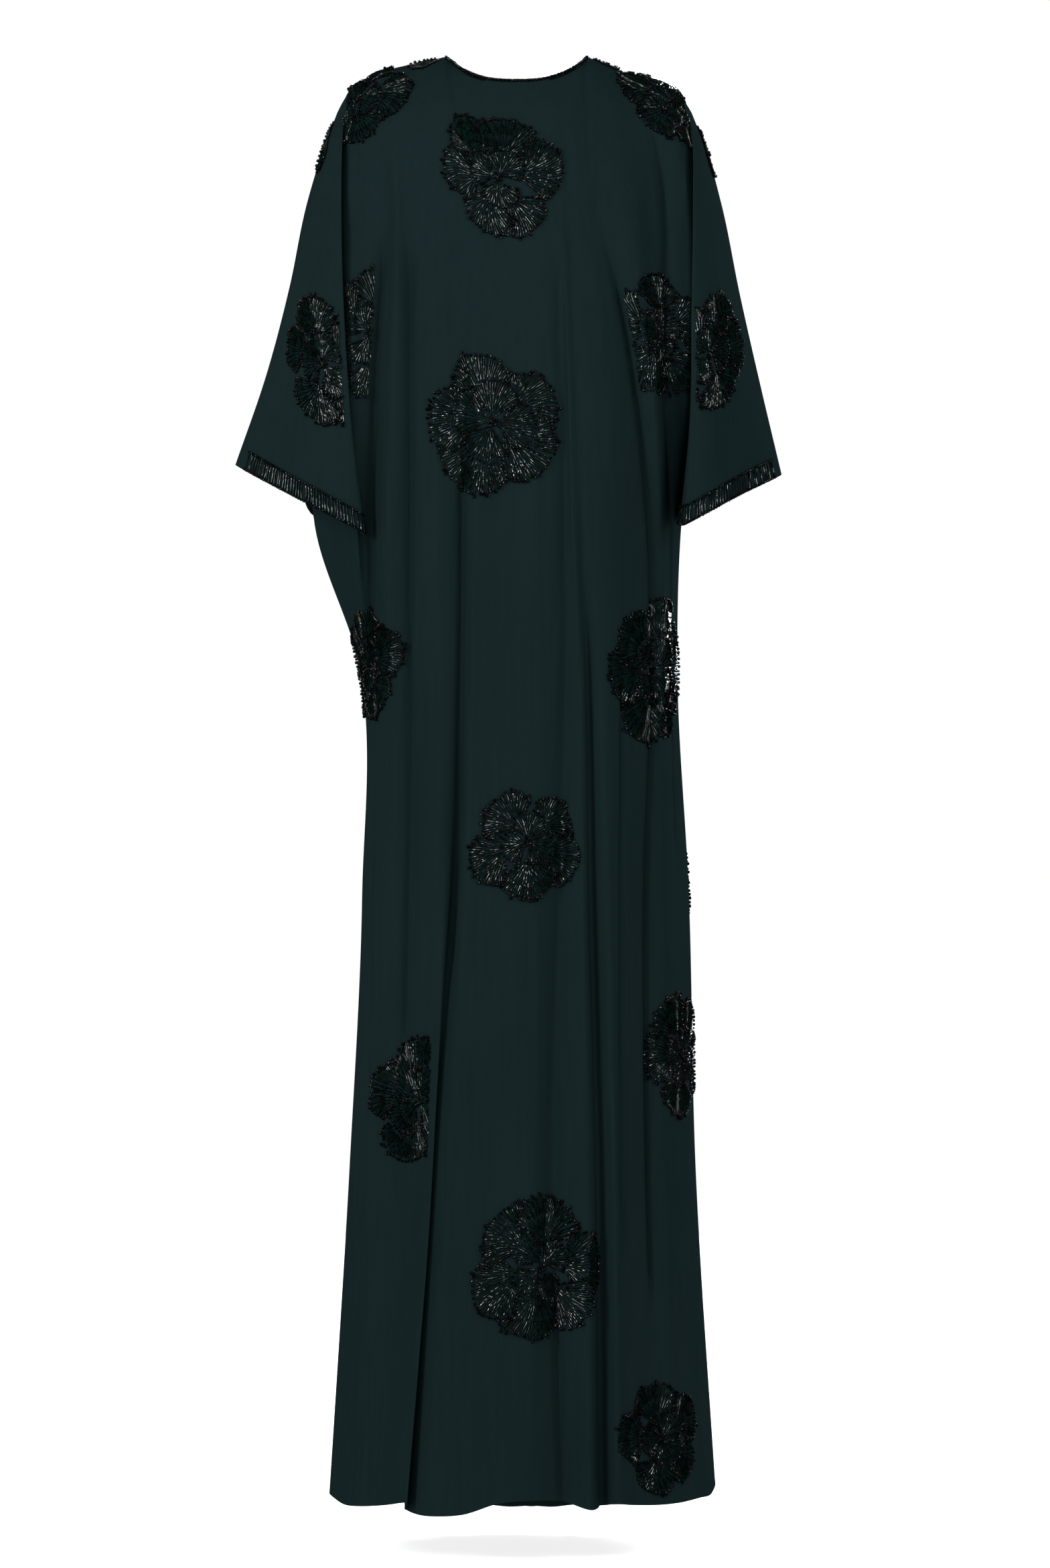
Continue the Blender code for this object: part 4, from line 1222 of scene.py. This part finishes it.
# The crepe: the scales of its streaks, clouds and grain, and how far the first two
# are drawn out lengthways. The part of their range that shows, their shares of the
# tone, its darkest and lightest colours, and the strength and height of each bump.
STREAKS, CLOUDS, GRAIN = 260, 9, 1500
STREAK_STRETCH, CLOUD_STRETCH = (1, 1, 0.035), (1, 1, 0.4)
TONE_RANGE = 0.3, 0.7
STREAK_SHARE, CLOUD_SHARE = 0.55, 0.45
CREPE_TONES = (0.0050, 0.0110, 0.0119), (0.0067, 0.0138, 0.0147)
CREPE_ROUGHNESS = 0.66, 0.86
GRAIN_BUMP, STREAK_BUMP = (0.35, 0.0003), (0.12, 0.0006)


def crepe_material():
    """Matt crepe: a fine pebbled grain, faint lengthways streaks and clouds of tone."""
    nodes = Nodes("crepe_cloth")
    place = nodes.add("ShaderNodeTexCoord").outputs["Object"]
    streaks = nodes.noise(nodes.stretched(place, STREAK_STRETCH), STREAKS, 3)
    clouds = nodes.noise(nodes.stretched(place, CLOUD_STRETCH), CLOUDS, 3)
    grain = nodes.noise(place, GRAIN, 2)
    tone = nodes.add("ShaderNodeMath", operation="ADD")
    nodes.link(nodes.ranged(streaks, 0.0, STREAK_SHARE, *TONE_RANGE), tone.inputs[0])
    nodes.link(nodes.ranged(clouds, 0.0, CLOUD_SHARE, *TONE_RANGE), tone.inputs[1])
    fine = nodes.bump(grain, *GRAIN_BUMP)
    nodes.feed(Base_Color=nodes.mix(tone.outputs[0], *CREPE_TONES),
               Roughness=nodes.ranged(grain, *CREPE_ROUGHNESS),
               Normal=nodes.bump(streaks, *STREAK_BUMP, fine))
    nodes.set(Specular_IOR_Level=0.0)
    return nodes.material


# The beads' glass: a material for each kind of bead, their darkest and lightest
# tones, and the ranges of mix, roughness and shine that chance takes beads over
Glass = namedtuple("Glass", "tube round")
GREEN_TONES = (0.0014, 0.0018, 0.0018), (0.0024, 0.0120, 0.0078)
BLACK_TONES = (0.0012, 0.0012, 0.0013), (0.0022, 0.0024, 0.0023)
GLASS_MIX = 0, 1, 0.35, 0.9
GLASS_ROUGHNESS = 0.20, 0.07
GLASS_SHINE = 0.08, 0.8
RIPPLES = 900
RIPPLE_BUMP = 0.15, 0.0002


def bead_material(name, tones):
    """Dark glass, a little different from bead to bead."""
    nodes = Nodes(name)
    chance = nodes.add("ShaderNodeNewGeometry").outputs["Random Per Island"]
    place = nodes.add("ShaderNodeTexCoord").outputs["Object"]
    ripple = nodes.noise(place, RIPPLES, 1)
    nodes.feed(Base_Color=nodes.mix(nodes.ranged(chance, *GLASS_MIX), *tones),
               Roughness=nodes.ranged(chance, *GLASS_ROUGHNESS),
               Specular_IOR_Level=nodes.ranged(chance, *GLASS_SHINE),
               Normal=nodes.bump(ripple, *RIPPLE_BUMP))
    nodes.set(IOR=1.5)
    return nodes.material


# The facing's weave: its scale and waviness, its colours and its bump
WEAVE, WEAVE_WAVINESS = 420, 0.6
FACING_TONES = (0.20, 0.13, 0.08), (0.30, 0.21, 0.13)
WEAVE_BUMP = 0.3, 0.0003


def facing_material():
    """A pale plain weave."""
    nodes = Nodes("facing_weave")
    place = nodes.add("ShaderNodeTexCoord").outputs["Object"]
    weave = nodes.add("ShaderNodeMath", operation="MULTIPLY")
    for index, direction in enumerate("XZ"):
        wave = nodes.add("ShaderNodeTexWave", wave_type="BANDS", bands_direction=direction,
                         Scale=WEAVE, Distortion=WEAVE_WAVINESS)
        nodes.link(place, wave.inputs["Vector"])
        nodes.link(wave.outputs["Fac"], weave.inputs[index])
    nodes.feed(Base_Color=nodes.mix(weave.outputs[0], *FACING_TONES),
               Normal=nodes.bump(weave.outputs[0], *WEAVE_BUMP))
    nodes.set(Roughness=0.75, Specular_IOR_Level=0.3, Sheen_Weight=0.1)
    return nodes.material


# The camera that the photograph's outline fits, and the studio, in metres
CAMERA_PLACE = (0.0091, -6.5, -0.763)
VIEW_HEIGHT = 1.6464
SENSOR = 36
FLOOR_LEVEL = -1.565
FLOOR_SIZE = 9
PAPER_TONES = (0.82, 0.82, 0.82), (0.85, 0.85, 0.85)

# The lamps in front. All but the last one stand behind the garment too, turned
# half way round it.
Lamp = namedtuple("Lamp", "name place aim width height power")
FRONT_LAMPS = (
    Lamp("key", (-2.8, -2.6, 0.9), (0, 0, -0.2), 1.0, 1.4, 116),
    Lamp("side", (2.6, -2.7, 1.3), (0, 0, -0.1), 1.0, 1.4, 64),
    Lamp("fill", (-0.4, -4.4, 2.2), (0, 0, 0.3), 2.0, 1.6, 78),
    Lamp("spark_left", (-2.0, -3.6, -0.1), (0, 0, -0.6), 0.4, 0.4, 70),
    Lamp("spark_top", (-0.3, -3.8, 1.5), (0, 0, -0.5), 0.4, 0.4, 70),
    Lamp("spark_right", (1.7, -3.8, 0.5), (0, 0, -0.8), 0.35, 0.35, 55),
)
LAMPS = FRONT_LAMPS + tuple(
    lamp._replace(name="back_" + lamp.name, place=(-lamp.place[0], -lamp.place[1], lamp.place[2]))
    for lamp in FRONT_LAMPS[:-1])

# The world is bright near the horizon and dimmer overhead: the upward parts of the
# directions between which it fades, and the strengths there
HORIZON, OVERHEAD = (0.19, 1.0), (0.36, 0.25)
FLOOR_GLOW = 0.8


def make_camera():
    """A camera at the height and distance of the photograph's."""
    camera = bpy.data.cameras.new("camera")
    camera.sensor_fit = "VERTICAL"
    camera.sensor_height = SENSOR
    camera.lens = SENSOR * -CAMERA_PLACE[1] / VIEW_HEIGHT
    camera.clip_end = 100
    holder = bpy.data.objects.new("camera", camera)
    holder.location = CAMERA_PLACE
    holder.rotation_euler = (math.radians(90), 0, 0)
    bpy.context.scene.collection.objects.link(holder)
    bpy.context.scene.camera = holder


def make_lamps():
    """Lamps aimed at the garment: sparks show only in reflections, the others never."""
    for lamp in LAMPS:
        light = bpy.data.lights.new(lamp.name, "AREA")
        light.shape = "RECTANGLE"
        light.size = lamp.width
        light.size_y = lamp.height
        light.energy = lamp.power
        spark = "spark" in lamp.name
        holder = bpy.data.objects.new(lamp.name, light)
        holder.location = lamp.place
        away = np.array(lamp.place) - np.array(lamp.aim)
        turn = math.atan2(away[0], -away[1])
        tilt = math.atan2(math.hypot(away[0], away[1]), away[2])
        holder.rotation_euler = (tilt, 0, turn)
        holder.visible_glossy = spark
        holder.visible_diffuse = not spark
        bpy.context.scene.collection.objects.link(holder)


def make_world():
    """White near the horizon and dim overhead, and left out of reflections."""
    world = bpy.data.worlds.new("studio")
    world.use_nodes = True
    tree = world.node_tree
    shade = tree.nodes["Background"]
    shade.inputs["Color"].default_value = (1, 1, 1, 1)
    place = tree.nodes.new("ShaderNodeTexCoord")
    parts = tree.nodes.new("ShaderNodeSeparateXYZ")
    fade = tree.nodes.new("ShaderNodeMapRange")
    fade.interpolation_type = "SMOOTHSTEP"
    fade.inputs["From Min"].default_value = HORIZON[0]
    fade.inputs["To Min"].default_value = HORIZON[1]
    fade.inputs["From Max"].default_value = OVERHEAD[0]
    fade.inputs["To Max"].default_value = OVERHEAD[1]
    tree.links.new(place.outputs["Generated"], parts.inputs["Vector"])
    tree.links.new(parts.outputs["Z"], fade.inputs["Value"])
    tree.links.new(fade.outputs["Result"], shade.inputs["Strength"])
    world.cycles_visibility.glossy = False
    bpy.context.scene.world = world
    bpy.context.scene.view_settings.view_transform = "Standard"


def make_floor():
    """Pale paper under the garment, which throws no light back on it."""
    nodes = Nodes("floor_paper")
    place = nodes.add("ShaderNodeTexCoord").outputs["Object"]
    tone = nodes.ranged(nodes.noise(place, 3), 0, 1)
    nodes.feed(Base_Color=nodes.mix(tone, *PAPER_TONES))
    nodes.set(Roughness=0.9, Specular_IOR_Level=0.1, Emission_Strength=FLOOR_GLOW,
              Emission_Color=(1, 1, 1, 1))
    half = FLOOR_SIZE / 2
    corners = [(-half, -half, FLOOR_LEVEL), (half, -half, FLOOR_LEVEL),
               (half, half, FLOOR_LEVEL), (-half, half, FLOOR_LEVEL)]
    mesh = bpy.data.meshes.new("floor")
    mesh.from_pydata(corners, [], [(0, 1, 2, 3)])
    mesh.materials.append(nodes.material)
    floor = bpy.data.objects.new("floor", mesh)
    bpy.context.scene.collection.objects.link(floor)
    floor.visible_glossy = False
    floor.visible_diffuse = False


# Flat sizes in metres, areas in square metres, and where the random seeds start
FRONT_FLAT = 1.10, 1.62
BACK_FLAT = 1.10, 1.62
FRONT_AREA = 0.965
BACK_AREA = 0.853
NECK_SEED, CUFF_SEED = 90, 95


def make_kaftan():
    """The cloth, the facings and the beads."""
    crepe, lining = crepe_material(), facing_material()
    glass = Glass(tube=bead_material("green_glass", GREEN_TONES),
                  round=bead_material("black_glass", BLACK_TONES))
    front = Panel("front", FRONT_FOLDS, FRONT_SLEEVE, BACK_FOLDS, BACK_SLEEVE)
    back = Panel("back", BACK_FOLDS, BACK_SLEEVE, FRONT_FOLDS, FRONT_SLEEVE)
    add_relief(front, FRONT_CREASES, FRONT_CRISP)
    add_relief(back, BACK_CREASES, BACK_CRISP)
    join_panels(front, back)
    rows = {"front": Rows(front), "back": Rows(back)}
    beads = {"front": [], "back": []}
    for seed, flower in enumerate(FLOWERS):
        beads[flower.panel].append(make_flower(rows[flower.panel], flower, seed + 1, glass))
    for seed, name in enumerate(("front", "back")):
        beads[name].append(make_facing(rows[name], lining))
        beads[name].append(make_neck_edging(rows[name], NECK_SEED + seed, glass))
        for side in ("left", "right"):
            beads[name].append(make_cuff(rows[name], side, CUFF_SEED + seed, glass))
    for panel, flat, area in ((front, FRONT_FLAT, FRONT_AREA), (back, BACK_FLAT, BACK_AREA)):
        cloth = make_cloth(panel, crepe)


make_camera()
make_world()
make_floor()
make_lamps()
make_kaftan()
